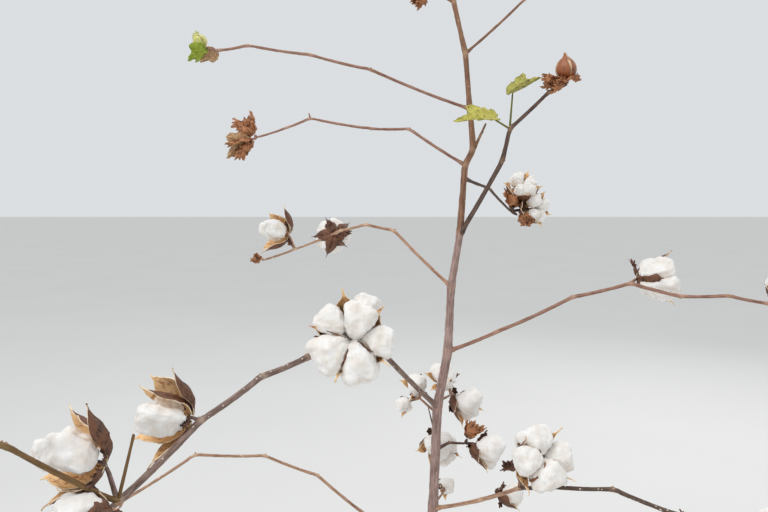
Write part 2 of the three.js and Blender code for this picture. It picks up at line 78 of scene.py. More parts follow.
def new_material(name):
    """An empty material, its node tree and the shader that it shows."""
    material = bpy.data.materials.new(name)
    material.use_nodes = True
    tree = material.node_tree
    tree.nodes.clear()
    shader = add(tree, "ShaderNodeBsdfPrincipled")
    add(tree, "ShaderNodeOutputMaterial", links={"Surface": shader.outputs["BSDF"]})
    return material, tree, shader


# Matt studio paper, a touch uneven
floor_paper, tree, shader = new_material("matt_studio_paper")
spot = add(tree, "ShaderNodeTexCoord").outputs["Object"]
cloud = add(tree, "ShaderNodeTexNoise", values={"Scale": 1.5}, links={"Vector": spot})
tone = add(tree, "ShaderNodeValToRGB", links={"Fac": cloud.outputs["Fac"]})
tone.color_ramp.elements[0].color = linear("#e2e1de")
tone.color_ramp.elements[1].color = linear("#e8e7e4")
tree.links.new(tone.outputs["Color"], shader.inputs["Base Color"])
shader.inputs["Roughness"].default_value = 0.9

bpy.ops.mesh.primitive_plane_add(size=60, location=(0, 0, -0.0005))
floor = bpy.context.object
floor.name = "studio_floor"
floor.data.materials.append(floor_paper)

world = bpy.data.worlds.new("overcast")
bpy.context.scene.world = world
world.use_nodes = True
world.node_tree.nodes["Background"].inputs["Color"].default_value = linear("#eceff2")
world.node_tree.nodes["Background"].inputs["Strength"].default_value = 0.85

# [name, where it stands, what it points at, width in metres, watts]
SOFT_LIGHTS = [
    ["sky_softbox", (-1.2, -1.6, 3.4), (0, 0, 0.7), 2.6, 52],
    ["rear_softbox", (1.8, 2.4, 2.4), (0, 0, 0.8), 2, 22],
]
for name, stand, aim, width, watts in SOFT_LIGHTS:
    bpy.ops.object.light_add(type="AREA", location=stand)
    light = bpy.context.object
    light.name = name
    light.data.size = width
    light.data.energy = watts
    light.rotation_euler = (Vector(aim) - Vector(stand)).to_track_quat("-Z", "Y").to_euler()


# Main stem
# One woody stem, thick at its root flare and thin as a straw at its tip, that turns a little at each node.
# Its thin bark is mauve grey-brown, finely streaked along the stem, with pale cork pores.
MM = 0.001
# [height, sideways lean] of the nodes, in millimetres
STEM_NODES = [
    [0, 0], [140, 12], [290, 20], [395, 31], [495, 37], [556, 43], [671, 47], [732, 58], [802, 61],
    [858, 70], [932, 75], [948, 84], [991, 80], [1049, 75], [1103, 62], [1178, 56], [1250, 46],
]
# [height, diameter]
STEM_TAPER = [
    [0, 13.5], [620, 10.2], [705, 9.6], [800, 8.1], [840, 7.5], [890, 6.8], [1000, 5.8], [1100, 5],
    [1250, 2.6],
]
STEM_SWAY = 5
STEM_SWAY_LENGTH = 150
FLARE_WIDTH = 9
FLARE_FADE = 13
# Heights of the rings round the root flare, and the height from which they are evenly spaced
FLARE_RINGS = (0, 4, 9, 16, 26, 40)
FLARE_TOP = 50
STEM_SIDES = 10
STEM_KNOB = 1.13
# The height at which the bark turns from grey-mauve to warm brown
BARK_TURNS = 860
# The stem starts this far below the ground and is then cut level with it
FOOT_DEPTH = 6
RING_STEP = 11
# How far from a node a limb starts to turn into its next internode
TURN_ROOM = 5
# Points along each internode of a limb's line
LINE_STEPS = 8
# How far from a node its paler skin fades out
KNOB_FADE = 3.2


def along(table, x):
    """The value at x in a table of [x, value] pairs."""
    above = next((i for i, row in enumerate(table) if row[0] >= x), len(table) - 1)
    i = min(len(table) - 2, max(0, above - 1))
    (x0, a), (x1, b) = table[i], table[i + 1]
    return a + (b - a) * (x - x0) / (x1 - x0)


def stem_point(height):
    return Vector((along(STEM_NODES, height), STEM_SWAY * math.sin(height / STEM_SWAY_LENGTH), height))


def stem_radius(height):
    return (along(STEM_TAPER, height) + FLARE_WIDTH * math.exp(-max(0, height) / FLARE_FADE)) / 2


def route(nodes, sag):
    """The smooth line through a limb's nodes, and how far along it each node lies, in millimetres."""
    points = [nodes[0]]
    marks = [0]
    for i in range(len(nodes) - 1):
        start, end = nodes[i], nodes[i + 1]
        room = min(TURN_ROOM, (end - start).length / 3)
        for k in range(1, LINE_STEPS):
            s = k / LINE_STEPS
            spot = start.lerp(end, s)
            spot.z -= sag * (end - start).length * 4 * s * (1 - s)
            if (spot - start).length >= room and (end - spot).length >= room:
                points.append(spot)
        if i + 2 < len(nodes):
            before = end + (points[-1] - end).normalized() * room
            after = end + (nodes[i + 2] - end).normalized() * room
            points += [before, before.lerp(end, 0.5).lerp(end.lerp(after, 0.5), 0.5), after]
            marks.append(sum((points[k + 1] - points[k]).length for k in range(len(points) - 2)))
        else:
            points.append(end)
            marks.append(sum((points[k + 1] - points[k]).length for k in range(len(points) - 1)))
    return points, marks


def stick(name, rings, sides):
    """A straight closed stick on the Z axis, drawn up from a circle ring by ring.
    Each ring is [height, radius], in millimetres."""
    # Subdividing draws a ring of few sides in by this much
    swell = 6 / (4 + 2 * math.cos(2 * math.pi / sides))
    bpy.ops.object.select_all(action="DESELECT")
    low, radius = rings[0]
    bpy.ops.mesh.primitive_circle_add(vertices=sides, radius=radius * swell * MM, location=(0, 0, low * MM))
    piece = bpy.context.object
    piece.name = name
    bpy.ops.object.mode_set(mode="EDIT")
    for height, wide in rings[1:]:
        bpy.ops.mesh.extrude_region_move(TRANSFORM_OT_translate={"value": (0, 0, (height - low) * MM)})
        grow = wide / radius
        bpy.ops.transform.resize(value=(grow, grow, 1), center_override=(0, 0, height * MM))
        low, radius = height, wide
    bpy.ops.mesh.select_all(action="SELECT")
    bpy.ops.mesh.fill_holes(sides=0)
    bpy.ops.mesh.normals_make_consistent(inside=False)
    bpy.ops.object.mode_set(mode="OBJECT")
    bpy.ops.object.transform_apply(location=True, rotation=True, scale=True)
    return piece


def finish(piece, kind, **settings):
    """Puts a modifier on the piece, sets it and applies it."""
    bpy.context.view_layer.objects.active = piece
    modifier = piece.modifiers.new(kind, kind)
    for name, setting in settings.items():
        setattr(modifier, name, setting)
    bpy.ops.object.modifier_apply(modifier=modifier.name)


def record_grain(piece, marks, size=1):
    """Keeps each point's place on the straight stick, which the bark follows, and how near a node it is.
    A piece modelled 1 wide takes the size, in metres, that its copies have."""
    count = len(piece.data.vertices)
    straight = [0.0] * count * 3
    piece.data.vertices.foreach_get("co", straight)
    straight = [x * size for x in straight]
    piece.data.attributes.new("grain", "FLOAT_VECTOR", "POINT").data.foreach_set("vector", straight)
    near = []
    for i in range(count):
        height = straight[i * 3 + 2] / MM
        gap = min([abs(height - mark) for mark in marks], default=math.inf)
        near.append(math.exp(-((gap / KNOB_FADE) ** 2)))
    piece.data.attributes.new("knob", "FLOAT", "POINT").data.foreach_set("value", near)


def bend(piece, points):
    """Bends a straight stick along a line of points, given in millimetres."""
    line = bpy.data.curves.new("line", "CURVE")
    line.dimensions = "3D"
    line.twist_mode = "MINIMUM"
    spline = line.splines.new("POLY")
    spline.points.add(len(points) - 1)
    for spot, point in zip(spline.points, points):
        spot.co = (*(point * MM), 1)
    path = bpy.data.objects.new("line", line)
    bpy.context.scene.collection.objects.link(path)
    finish(piece, "CURVE", object=path, deform_axis="POS_Z")
    bpy.data.objects.remove(path)
    bpy.data.curves.remove(line)


def relief(piece, depth, size, name, group="", basis="BLENDER_ORIGINAL"):
    """Raises and sinks the surface by cloudy noise: how deep and how wide it is, in millimetres."""
    texture = bpy.data.textures.new(name, "CLOUDS")
    texture.noise_scale = size * MM
    texture.noise_depth = 2
    texture.noise_basis = basis
    finish(piece, "DISPLACE", texture=texture, strength=depth * MM, mid_level=0.5, texture_coords="LOCAL",
           vertex_group=group)


def bark(name, dark, light, pale, pore_share, knob_tint):
    """Smooth young bark: streaked along the limb, with raised pale pores and paler skin at the nodes.
    pore_share is the share of cells of the 3 mm pore pattern that hold a pore."""
    material, tree, shader = new_material(name)
    grain = add(tree, "ShaderNodeAttribute", {"attribute_name": "grain"}).outputs["Vector"]
    knob = add(tree, "ShaderNodeAttribute", {"attribute_name": "knob"}).outputs["Fac"]
    stretched = add(tree, "ShaderNodeVectorMath", {"operation": "MULTIPLY"}, {1: (1, 1, 0.1)}, {0: grain})
    # Streaks 1.2 mm wide and about 12 mm long
    streak = add(tree, "ShaderNodeTexNoise", values={"Scale": 1 / (1.2 * MM), "Detail": 4, "Roughness": 0.6},
                 links={"Vector": stretched.outputs[0]})
    # Blotches 15 mm long
    blotch = add(tree, "ShaderNodeTexNoise", values={"Scale": 1 / (15 * MM), "Detail": 3},
                 links={"Vector": grain})
    blend = add(tree, "ShaderNodeMath", {"operation": "MULTIPLY_ADD"}, {1: 0.45},
                {0: blotch.outputs["Fac"], 2: streak.outputs["Fac"]})
    tone = add(tree, "ShaderNodeValToRGB", links={"Fac": blend.outputs[0]})
    tone.color_ramp.elements[0].position = 0.5
    tone.color_ramp.elements[0].color = linear(dark)
    tone.color_ramp.elements[1].position = 0.95
    tone.color_ramp.elements[1].color = linear(light)
    # Cells 3 mm wide and 5 mm long, with a pore in the middle of some
    squeezed = add(tree, "ShaderNodeVectorMath", {"operation": "MULTIPLY"}, {1: (1, 1, 0.6)}, {0: grain})
    cells = add(tree, "ShaderNodeTexVoronoi", values={"Scale": 1 / (3 * MM)},
                links={"Vector": squeezed.outputs[0]})
    spot = add(tree, "ShaderNodeMapRange", {"interpolation_type": "SMOOTHSTEP"},
               {"From Min": 0.13, "From Max": 0.26, "To Min": 1, "To Max": 0},
               {"Value": cells.outputs["Distance"]})
    chosen = add(tree, "ShaderNodeSeparateColor", links={"Color": cells.outputs["Color"]})
    holds = add(tree, "ShaderNodeMath", {"operation": "LESS_THAN"}, {1: pore_share},
                {0: chosen.outputs["Red"]})
    pore = add(tree, "ShaderNodeMath", {"operation": "MULTIPLY"},
               links={0: spot.outputs[0], 1: holds.outputs[0]})
    speckled = add(tree, "ShaderNodeMix", {"data_type": "RGBA"}, {"B": linear(pale)},
                   {"Factor": pore.outputs[0], "A": tone.outputs["Color"]})
    # The paler skin of the nodes is worn into patches 2 mm wide
    patchy = add(tree, "ShaderNodeTexNoise", values={"Scale": 1 / (2 * MM), "Detail": 3},
                 links={"Vector": grain})
    worn = add(tree, "ShaderNodeMath", {"operation": "MULTIPLY"}, links={0: knob, 1: patchy.outputs["Fac"]})
    colour = add(tree, "ShaderNodeMix", {"data_type": "RGBA"}, {"B": linear(knob_tint)},
                 {"Factor": worn.outputs[0], "A": speckled.outputs["Result"]})
    tree.links.new(colour.outputs["Result"], shader.inputs["Base Color"])
    height = add(tree, "ShaderNodeMath", {"operation": "MULTIPLY_ADD"}, {1: 0.8},
                 {0: pore.outputs[0], 2: streak.outputs["Fac"]})
    bump = add(tree, "ShaderNodeBump", values={"Strength": 0.6, "Distance": 0.35 * MM},
               links={"Height": height.outputs[0]})
    tree.links.new(bump.outputs["Normal"], shader.inputs["Normal"])
    shader.inputs["Roughness"].default_value = 0.62
    shader.inputs["Specular IOR Level"].default_value = 0.35
    return material


# Dry cotton bark, thin and smooth enough for a faint sheen: grey-mauve low on the plant, warm brown above,
# red-brown or tan on young boughs, dark on three boughs at the right, and more or less dotted with pores
BARK = {
    "old": bark("grey_mauve_bark", "#6c5149", "#bba097", "#cdb8ac", 0.2, "#b08c7e"),
    "brown": bark("warm_brown_bark", "#5c3f30", "#a87e63", "#c9a68c", 0.15, "#c2a084"),
    "red": bark("red_brown_bark", "#6b4438", "#b8907c", "#d2b09c", 0.2, "#cfa790"),
    # Dark brown all over, for the three boughs at the right that use it
    "dark": bark("dark_brown_bark", "#33231c", "#776054", "#a08a7a", 0.2, "#a08468"),
    "grey": bark("speckled_grey_bark", "#4a342c", "#a58c80", "#ded2c8", 0.6, "#c8b09a"),
    "tan": bark("tan_bark", "#7d5640", "#cfa88c", "#e6cfba", 0.3, "#e0c2a4"),
    "olive": bark("olive_brown_bark", "#5a3f22", "#8f7046", "#a88e60", 0.1, "#8f7850"),
    "dotted": bark("dotted_dark_bark", "#35261f", "#6f5a4c", "#e0d6cc", 0.75, "#8a7260"),
}

stem_heights = [height for height, _ in STEM_NODES]
stem_path, stem_marks = route([stem_point(-FOOT_DEPTH)] + [stem_point(h) for h in stem_heights], 0)
stem_marks = stem_marks[1:]
stem_rings = [[0, stem_radius(0)], [FOOT_DEPTH / 2, stem_radius(0)]]
for height in FLARE_RINGS:
    stem_rings.append([FOOT_DEPTH + height, stem_radius(height)])
for i in range(len(stem_heights) - 1):
    low, high = stem_heights[i], stem_heights[i + 1]
    last = i == len(stem_heights) - 2
    count = max(2, round((high - low) / RING_STEP))
    for k in range(1, count + 1):
        share = k / count
        height = low + (high - low) * share
        if height < FLARE_TOP:
            continue
        knob = STEM_KNOB if share == 1 and not last else 1
        mark = stem_marks[i] + (stem_marks[i + 1] - stem_marks[i]) * share
        stem_rings.append([mark, stem_radius(height) * knob])
        # A knob is widest just above its node
        if knob > 1:
            stem_rings.append([mark + 3, stem_radius(height) * (knob + 0.03)])
stem = stick("main_stem_bark", stem_rings, STEM_SIDES)

# The root flare stands out in a few uneven ridges: on which of the stem's sides, and by how much
RIDGES = {0: 1.16, 3: 1.22, 5: 1.1, 7: 1.2}
RIDGE_TOP = 10
bpy.ops.object.mode_set(mode="EDIT")
bpy.ops.mesh.select_all(action="DESELECT")
bpy.ops.object.mode_set(mode="OBJECT")
for side, reach in RIDGES.items():
    turn = 2 * math.pi * side / STEM_SIDES
    for v in stem.data.vertices:
        angle = math.atan2(-v.co.x, v.co.y) % (2 * math.pi)
        gap = abs((angle - turn + math.pi) % (2 * math.pi) - math.pi)
        v.select = gap < 0.2 and v.co.z < (FOOT_DEPTH + RIDGE_TOP) * MM
    bpy.ops.object.mode_set(mode="EDIT")
    bpy.ops.transform.resize(value=(reach, reach, 1), center_override=(0, 0, 0))
    bpy.ops.mesh.select_all(action="DESELECT")
    bpy.ops.object.mode_set(mode="OBJECT")
finish(stem, "SUBSURF", levels=2, render_levels=2)
record_grain(stem, stem_marks[1:-1])
bend(stem, stem_path)
relief(stem, 0.9, 14, "stem_swells")
relief(stem, 0.45, 3.5, "stem_furrows")
bpy.ops.object.mode_set(mode="EDIT")
bpy.ops.mesh.select_all(action="SELECT")
bpy.ops.mesh.bisect(plane_co=(0, 0, 0), plane_no=(0, 0, 1), use_fill=True, clear_inner=True)
bpy.ops.object.mode_set(mode="OBJECT")
bpy.ops.object.shade_smooth_by_angle(angle=math.radians(50))
stem.data.materials.append(BARK["old"])
stem.data.materials.append(BARK["brown"])
for face in stem.data.polygons:
    face.material_index = int(face.center.z > BARK_TURNS * MM)
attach(stem, "root")
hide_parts("main_stem")


# Boughs
# Fruiting boughs zigzag: each internode leaves its node to the other side, and each node is a swollen knob.
# They are the same wood as the stem, thinner and younger, and flare out where they join it.
BOUGH_SIDES = 6
# How far a bough sags, in parts of an internode's length
BOUGH_SAG = 0.015
BOUGH_KNOB = 1.22
# How far a knob reaches along the limb, in parts of its radius
KNOB_REACH = 1.5
# A limb is this much thicker where it leaves the stem, and the swelling fades out over this length
JOINT_SWELL = 0.55
JOINT_FADE = 3
# Rings of a limb's mesh: how far beside each node, and how close to each other at least
NODE_RING = 2.4
RING_ROOM = 1.5
# How far before a node the bough ends and its spray begins
SPRAY_STEP = 6
# Limbs whose bark changes at a node: [node, bark beyond it]
BARK_CHANGES = {"front_left": [6, "olive"], "lower_right": [2, "dotted"]}
# Limbs that go on as a thinner twig from a node: [node, part of the thickness]
THINNINGS = {"front_left": [6, 0.74]}


# What a limb carries, in millimetres and degrees. "at" is the node that it grows from, counted from the stem,
# and "reach" its stalk as [length, azimuth, rise]. "faces" is the [azimuth, rise] that a boll opens toward,
# and "points" that of a leaf's tip.
def boll(at, size, reach, faces, locks=5, look="open"):
    return {"kind": "boll", "at": at, "size": size, "reach": reach, "faces": faces,
            "locks": locks, "look": look}


def pod(at, size, reach, look="brown"):
    return {"kind": "pod", "at": at, "size": size, "reach": reach, "look": look}


def leaf(at, length, reach, points, roll=0, look="yellow"):
    return {"kind": "leaf", "at": at, "size": length, "reach": reach, "points": points,
            "roll": roll, "look": look}


def husk(at, size, reach):
    return {"kind": "husk", "at": at, "size": size, "reach": reach}


def spur(at, reach):
    return {"kind": "spur", "at": at, "reach": reach}


def limb(name, wood, height, root, tip, bough, internodes, *carries):
    """A limb: its bark, the height of the stem's node, its diameters at root and tip, how many of its
    internodes are bough, the internodes as [length, azimuth, rise], and what its nodes carry."""
    return {"name": name, "bark": wood, "height": height, "root": root, "tip": tip, "bough": bough,
            "internodes": internodes, "carries": list(carries)}


SEEN_LIMBS = [
    limb("top_right", "brown", 1049, 2.8, 2, 1, [[87, 13, 42], [50, 5, 36], [36, 22, 25]],
         boll(3, 36, [12, 25, 50], [30, 60], 4), husk(2, 22, [10, 330, 60])),
    limb("upper_left", "red", 991, 3.2, 2.4, 3,
         [[113, 188, 20], [63, 189, 12], [63, 189, 7], [29, 190, -12], [12, 195, 4]],
         leaf(5, 20, [5, 225, -20], [200, -30], 50, "green"), pod(5, 14, [6, 150, 40], "green"),
         leaf(4, 17, [6, 165, -30], [170, -20], 40, "dry")),
    limb("upper_stub", "brown", 948, 3, 2, 0, [[17, 318, 59], [14, 328, 63]], spur(1, [6, 20, 50])),
    limb("second_left", "red", 932, 3.2, 2.3, 3,
         [[71, 172, 33], [41, 170, 1], [68, 176, 10], [27, 171, -21], [37, 170, -16]],
         husk(5, 34, [4, 165, 42]), husk(5, 32, [4, 185, -35]),
         leaf(5, 28, [12, 190, -25], [180, -32], 50, "dry"), spur(3, [6, 160, 75])),
    limb("back_right", "dark", 918, 3.6, 2.6, 1, [[48, 48, -12], [52, 47, -31]],
         boll(2, 36, [31, 57, 32], [275, 50], 4, "gold_sided"),
         boll(2, 34, [30, 45, 4], [310, 5], 4, "gold_sided"),
         husk(2, 28, [6, 80, 50]), husk(2, 26, [10, 12, -28])),
    limb("dark_right", "dark", 858, 5.2, 3, 3, [[90, 340, 60], [33, 320, 76], [53, 338, 42], [19, 346, 22]],
         pod(4, 21, [5, 170, 85]), husk(4, 26, [3, 195, 5]),
         leaf(2, 34, [37, 340, 86], [350, 28], 20, "folded"), leaf(2, 40, [24, 205, 25], [190, 2], -25)),
    limb("third_left", "tan", 802, 3.5, 2.3, 3,
         [[90, 154, 41], [35, 155, 10], [34, 153, -13], [65, 156, -21], [46, 156, -18]],
         boll(3, 40, [10, 150, -30], [100, -8]), boll(4, 42, [22, 126, 49], [196, 12], 5, "right_side"),
         husk(5, 16, [4, 150, 10])),
    limb("middle_right", "red", 732, 4, 3.2, 3,
         [[56, 354, 23], [88, 355, 26], [61, 352, 15], [52, 348, -14], [46, 354, 2],
          [39, 353, -11], [34, 345, -16]],
         boll(3, 52, [38, 63, 1], [332, 8], 4, "left_side"), boll(6, 44, [14, 30, 20], [20, 30]),
         boll(7, 40, [12, 330, -10], [330, 10], 4)),
    limb("front_left", "grey", 671, 5.4, 4.4, 5,
         [[109, 227, 40], [57, 230, 24], [58, 232, -7], [56, 234, -6], [76, 242, -13],
          [88, 245, -20], [86, 227, 39], [30, 200, 12]],
         boll(2, 74, [11.5, 286, 15], [272, 12], 6, "largest"),
         boll(5, 50, [7, 180, 22], [208, 14], 5, "bunched"),
         boll(6, 50, [26.4, 175, 74], [196, 20], 5, "right_side"), boll(6, 40, [7, 240, -10], [225, -15], 4),
         spur(6, [46, 345, 74]), boll(8, 36, [10, 170, 30], [180, 30], 4)),
    limb("lower_right", "tan", 556, 4.2, 4, 2,
         [[59, 333, 20], [49, 325, 28], [37, 327, 14], [62, 325, 11], [62, 319, -7], [48, 326, -14]],
         boll(1, 32, [46, 57, -11], [335, 0], 4, "half_open"),
         boll(2, 63, [30, 303, 76], [298, 28], 5, "four_locked"),
         boll(5, 44, [12, 300, -30], [290, -20]), boll(6, 42, [12, 340, 20], [340, 20], 4)),
    limb("lower_left", "tan", 495, 3.4, 2.4, 3,
         [[96, 196, 41], [72, 203, 44], [64, 206, 28], [72, 210, 11], [77, 223, -19], [44, 212, -30]],
         boll(6, 40, [10, 200, -20], [205, -20], 4), husk(5, 22, [7, 260, -40])),
    limb("inner_right", "brown", 678, 3, 2.2, 0, [[40, 65, -5]],
         boll(1, 42, [36, 76, -16], [310, -20], 5, "half_open"),
         boll(1, 34, [29, 93, 14], [240, 35], 4, "half_open")),
    limb("inner_left", "brown", 664, 3, 2.2, 0, [[46, 112, 6]],
         boll(1, 32, [31, 84, 6], [247, 24], 4, "one_lobed"),
         boll(1, 23, [24, 118, -22], [228, -14], 4, "one_lobed")),
    limb("near_right", "dark", 623, 3.2, 2.6, 0, [[20, 38, 11], [22, 28, -12]],
         boll(2, 42, [14, 34, -11], [320, -15], 5, "half_open"), husk(2, 26, [6, 20, 60])),
    limb("behind_stem", "brown", 610, 3, 2.4, 0, [[24, 90, 0]],
         boll(1, 44, [46, 83, 1], [280, -10], 5, "half_open")),
    limb("small_back", "brown", 560, 2.6, 2, 0, [[44, 70, -2]],
         boll(1, 24, [27, 88, -5], [290, 10], 4, "one_lobed")),
    limb("top_left", "brown", 1103, 3, 1.9, 1, [[34, 174, 28], [46, 166, 34], [38, 180, 18]],
         husk(1, 22, [5, 190, -72]), husk(2, 20, [7, 110, 20]), boll(3, 32, [9, 190, 35], [190, 30], 4)),
    limb("stem_tip", "brown", 1240, 2.6, 1.6, 0, [[16, 70, 62], [11, 215, 70]],
         pod(2, 9, [4, 120, 75], "green"), leaf(1, 24, [9, 330, 40], [320, 5], 20),
         leaf(2, 20, [8, 180, 35], [170, -5], 0, "green")),
    limb("dead_twig", "grey", 636, 2, 1.4, 0, [[35, 130, 68]]),
]
# The limbs above and below what shows:
# [name, bark, height of the stem's node, azimuth, first rise, length, internodes]
RULED_LIMBS = [
    ["crown_back", "brown", 1140, 84, 40, 150, 4],
    ["crown_front", "brown", 1178, 306, 36, 120, 3],
    ["crown_tip", "brown", 1214, 205, 44, 80, 3],
    ["skirt_back", "grey", 446, 66, -2, 250, 5],
    ["skirt_front", "tan", 420, 292, 30, 300, 6],
    ["base_left", "old", 372, 158, 12, 310, 6],
    ["base_right", "old", 326, 14, 16, 330, 6],
    ["base_front", "grey", 276, 244, 20, 330, 6],
    ["base_back", "old", 226, 104, 14, 320, 6],
]
# The rule for those limbs, in millimetres, degrees and parts of a length. Above CROWN_FOOT they are the
# crown, and below it the skirt.
CROWN_FOOT = 1090
CROWN_THICKNESS = [3.2, 1.9]
SKIRT_THICKNESS = [4.6, 2.4]
RULED_ZIGZAG = 10
RULED_DROP = 8
RULED_JOG = 3
RULED_SPRAY = 3
RULED_SHORTENING = 0.86
STALK_TURN = 65
STALK_RISE = 30
STALK_LENGTH = 0.3
CROWN_BOLL = 30
SKIRT_BOLL = 42
HUSK_STALK = 7


def seeded(seed):
    """Numbers from 0 to 1 that one seed gives, the same each time."""
    state = seed * 7919 + 17

    def chance():
        nonlocal state
        state = (state * 1664525 + 1013904223) % 2**32
        return state / 2**32

    return chance


def vary(chance, spread):
    """A factor of 1, give or take the spread."""
    return 1 + spread * (2 * chance() - 1)


def ruled_limb(number, name, wood, height, azimuth, rise, length, count):
    """A limb out of sight: internodes that shorten, zigzag and droop outward, with a husk where the spray
    begins and a boll at each node beyond, on the crown only at the last."""
    chance = seeded(number + 40)
    crown = height > CROWN_FOOT
    whole = (1 - RULED_SHORTENING**count) / (1 - RULED_SHORTENING)
    internodes = []
    for i in range(count):
        side = -1 if i % 2 else 1
        turned = azimuth + side * RULED_ZIGZAG * vary(chance, 0.4)
        tipped = rise - RULED_DROP * i + side * RULED_JOG
        internodes.append([length / whole * RULED_SHORTENING**i, turned, tipped])
    bough = max(1, count - RULED_SPRAY)
    carries = []
    for at in range(bough, count + 1):
        side = -1 if at % 2 else 1
        turn = azimuth + side * STALK_TURN * vary(chance, 0.25)
        lift = STALK_RISE * vary(chance, 0.6)
        size = (CROWN_BOLL if crown else SKIRT_BOLL) * vary(chance, 0.16)
        locks = 4 if chance() < 0.4 else 5
        if at == bough or (crown and at < count):
            carries.append(husk(at, size * 0.7, [HUSK_STALK, turn, lift]))
        else:
            look = "cupped" if (at + number) % 3 == 0 else "open"
            carries.append(boll(at, size, [size * STALK_LENGTH, turn, lift], [turn, lift], locks, look))
    root, tip = CROWN_THICKNESS if crown else SKIRT_THICKNESS
    return limb(name, wood, height, root, tip, bough, internodes, *carries)


def heading(azimuth, rise):
    """The direction with that azimuth and rise, in degrees."""
    a, r = math.radians(azimuth), math.radians(rise)
    return Vector((math.cos(r) * math.cos(a), math.cos(r) * math.sin(a), math.sin(r)))


limbs = SEEN_LIMBS + [ruled_limb(number, *row) for number, row in enumerate(RULED_LIMBS)]
for one in limbs:
    one["nodes"] = [stem_point(one["height"])]
    for length, azimuth, rise in one["internodes"]:
        one["nodes"].append(one["nodes"][-1] + heading(azimuth, rise) * length)
    one["path"], one["marks"] = route(one["nodes"], BOUGH_SAG)


def limb_radius(one, mark):
    """The limb's radius at a distance along it, tapered over its internodes and swollen at its nodes."""
    marks = one["marks"]
    total = len(marks) - 1
    i = next((k for k in range(total) if marks[k + 1] >= mark), total - 1)
    t = i + (mark - marks[i]) / (marks[i + 1] - marks[i])
    radius = (one["root"] + (one["tip"] - one["root"]) * t / total) / 2
    at, thinner = THINNINGS.get(one["name"], [total, 1])
    if t > at:
        radius *= thinner
    gap = min([abs(mark - inner) for inner in marks[1:-1]], default=math.inf)
    knob = 1 + (BOUGH_KNOB - 1) * math.exp(-((gap / (radius * KNOB_REACH)) ** 2))
    # The limb spreads where it leaves the stem
    away = max(0, mark - stem_radius(one["height"]) - 1)
    return radius * knob * (1 + JOINT_SWELL * math.exp(-away / JOINT_FADE))


def limb_stretch(one, name, start, end):
    """The part of a limb between two distances along it, as a bark-covered mesh."""
    marks = {start, end}
    for i in range(len(one["marks"]) - 1):
        low, high = one["marks"][i], one["marks"][i + 1]
        count = max(2, round((high - low) / RING_STEP))
        marks |= {low + (high - low) * k / count for k in range(count)}
        if i:
            marks |= {low - NODE_RING, low + NODE_RING}
    # Rings where the limb comes out of the stem
    base = stem_radius(one["height"])
    marks |= {base + 1, base + 3.5}
    # A ring close to each end keeps it blunt when the stick is subdivided
    kept = [start, start + 0.6]
    for mark in sorted(marks):
        if kept[-1] + RING_ROOM < mark < end - 2:
            kept.append(mark)
    kept += [end - 0.8, end]
    rings = [[mark, limb_radius(one, mark)] for mark in kept]
    rings[0][1] *= 0.9
    rings[-1][1] *= 0.7
    piece = stick(name, rings, BOUGH_SIDES)
    finish(piece, "SUBSURF", levels=2, render_levels=2)
    record_grain(piece, one["marks"][1:-1])
    bend(piece, one["path"])
    relief(piece, 0.5, 9, name + "_swells")
    relief(piece, 0.3, 2, name + "_wrinkles")
    bpy.ops.object.shade_smooth()
    piece.data.materials.append(BARK[one["bark"]])
    if one["name"] in BARK_CHANGES:
        at, bark_beyond = BARK_CHANGES[one["name"]]
        piece.data.materials.append(BARK[bark_beyond])
        straight = piece.data.attributes["grain"].data
        for face in piece.data.polygons:
            face.material_index = int(straight[face.vertices[0]].vector.z > one["marks"][at] * MM)
    return piece


for one in limbs:
    if one["bough"]:
        end = one["marks"][one["bough"]] - SPRAY_STEP
        piece = limb_stretch(one, "bark_" + one["name"], 0, end)
        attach(piece, "root")
        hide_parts("bough_" + one["name"])


# Twigs and stalks
# Beyond each bough its twig goes on from node to node, and short stiff stalks hold the fruit and leaves.
# Stalks of ripe fruit are as brown and dry as the twig, while the last leaves' stalks are still olive green.
STALK_SIDES = 5
PEDUNCLE_RADIUS = 1.3
PETIOLE_RADIUS = 0.8
# A stalk is this much thicker where it leaves the twig and where it holds a boll
STALK_SWELL = 1.5
STALK_RING_STEP = 6
# How far a stalk reaches into its boll, in parts of the boll's width
STALK_REACH = 0.06
# A spur thins to this part of its width, this far from its end
SPUR_WAIST = 0.7
SPUR_END = 4
SPUR_POINT_RADIUS = 0.6
# A spur longer than this ends in the knob that its fruit left, and a shorter one in a point
LONG_SPUR = 20


def place(model, matrix):
    """A copy of a modelled piece with a mesh of its own, moved by the matrix, in metres."""
    copy = bpy.data.objects.new(model.name + "_copy", model.data.copy())
    bpy.context.scene.collection.objects.link(copy)
    copy.data.transform(matrix)
    return copy


def join(name, parts):
    """Joins pieces of one kind into one mesh."""
    bpy.ops.object.select_all(action="DESELECT")
    for part in parts:
        part.select_set(True)
    bpy.context.view_layer.objects.active = parts[0]
    if len(parts) > 1:
        bpy.ops.object.join()
    whole = bpy.context.view_layer.objects.active
    whole.name = name
    return whole


def stalk(points, radii, material):
    """A short stalk through two or three points, in millimetres, with a radius at each."""
    line, marks = route(points, 0)
    rings = [[0, radii[0]]]
    for (low, high), (a, b) in zip(zip(marks, marks[1:]), zip(radii, radii[1:])):
        count = max(2, round((high - low) / STALK_RING_STEP))
        rings += [[low + (high - low) * k / count, a + (b - a) * k / count] for k in range(1, count + 1)]
    piece = stick("stalk", rings, STALK_SIDES)
    finish(piece, "SUBSURF", levels=1, render_levels=1)
    record_grain(piece, [])
    bend(piece, line)
    relief(piece, 0.25, 4, "stalk_swells")
    bpy.ops.object.shade_smooth()
    piece.data.materials.append(material)
    return piece


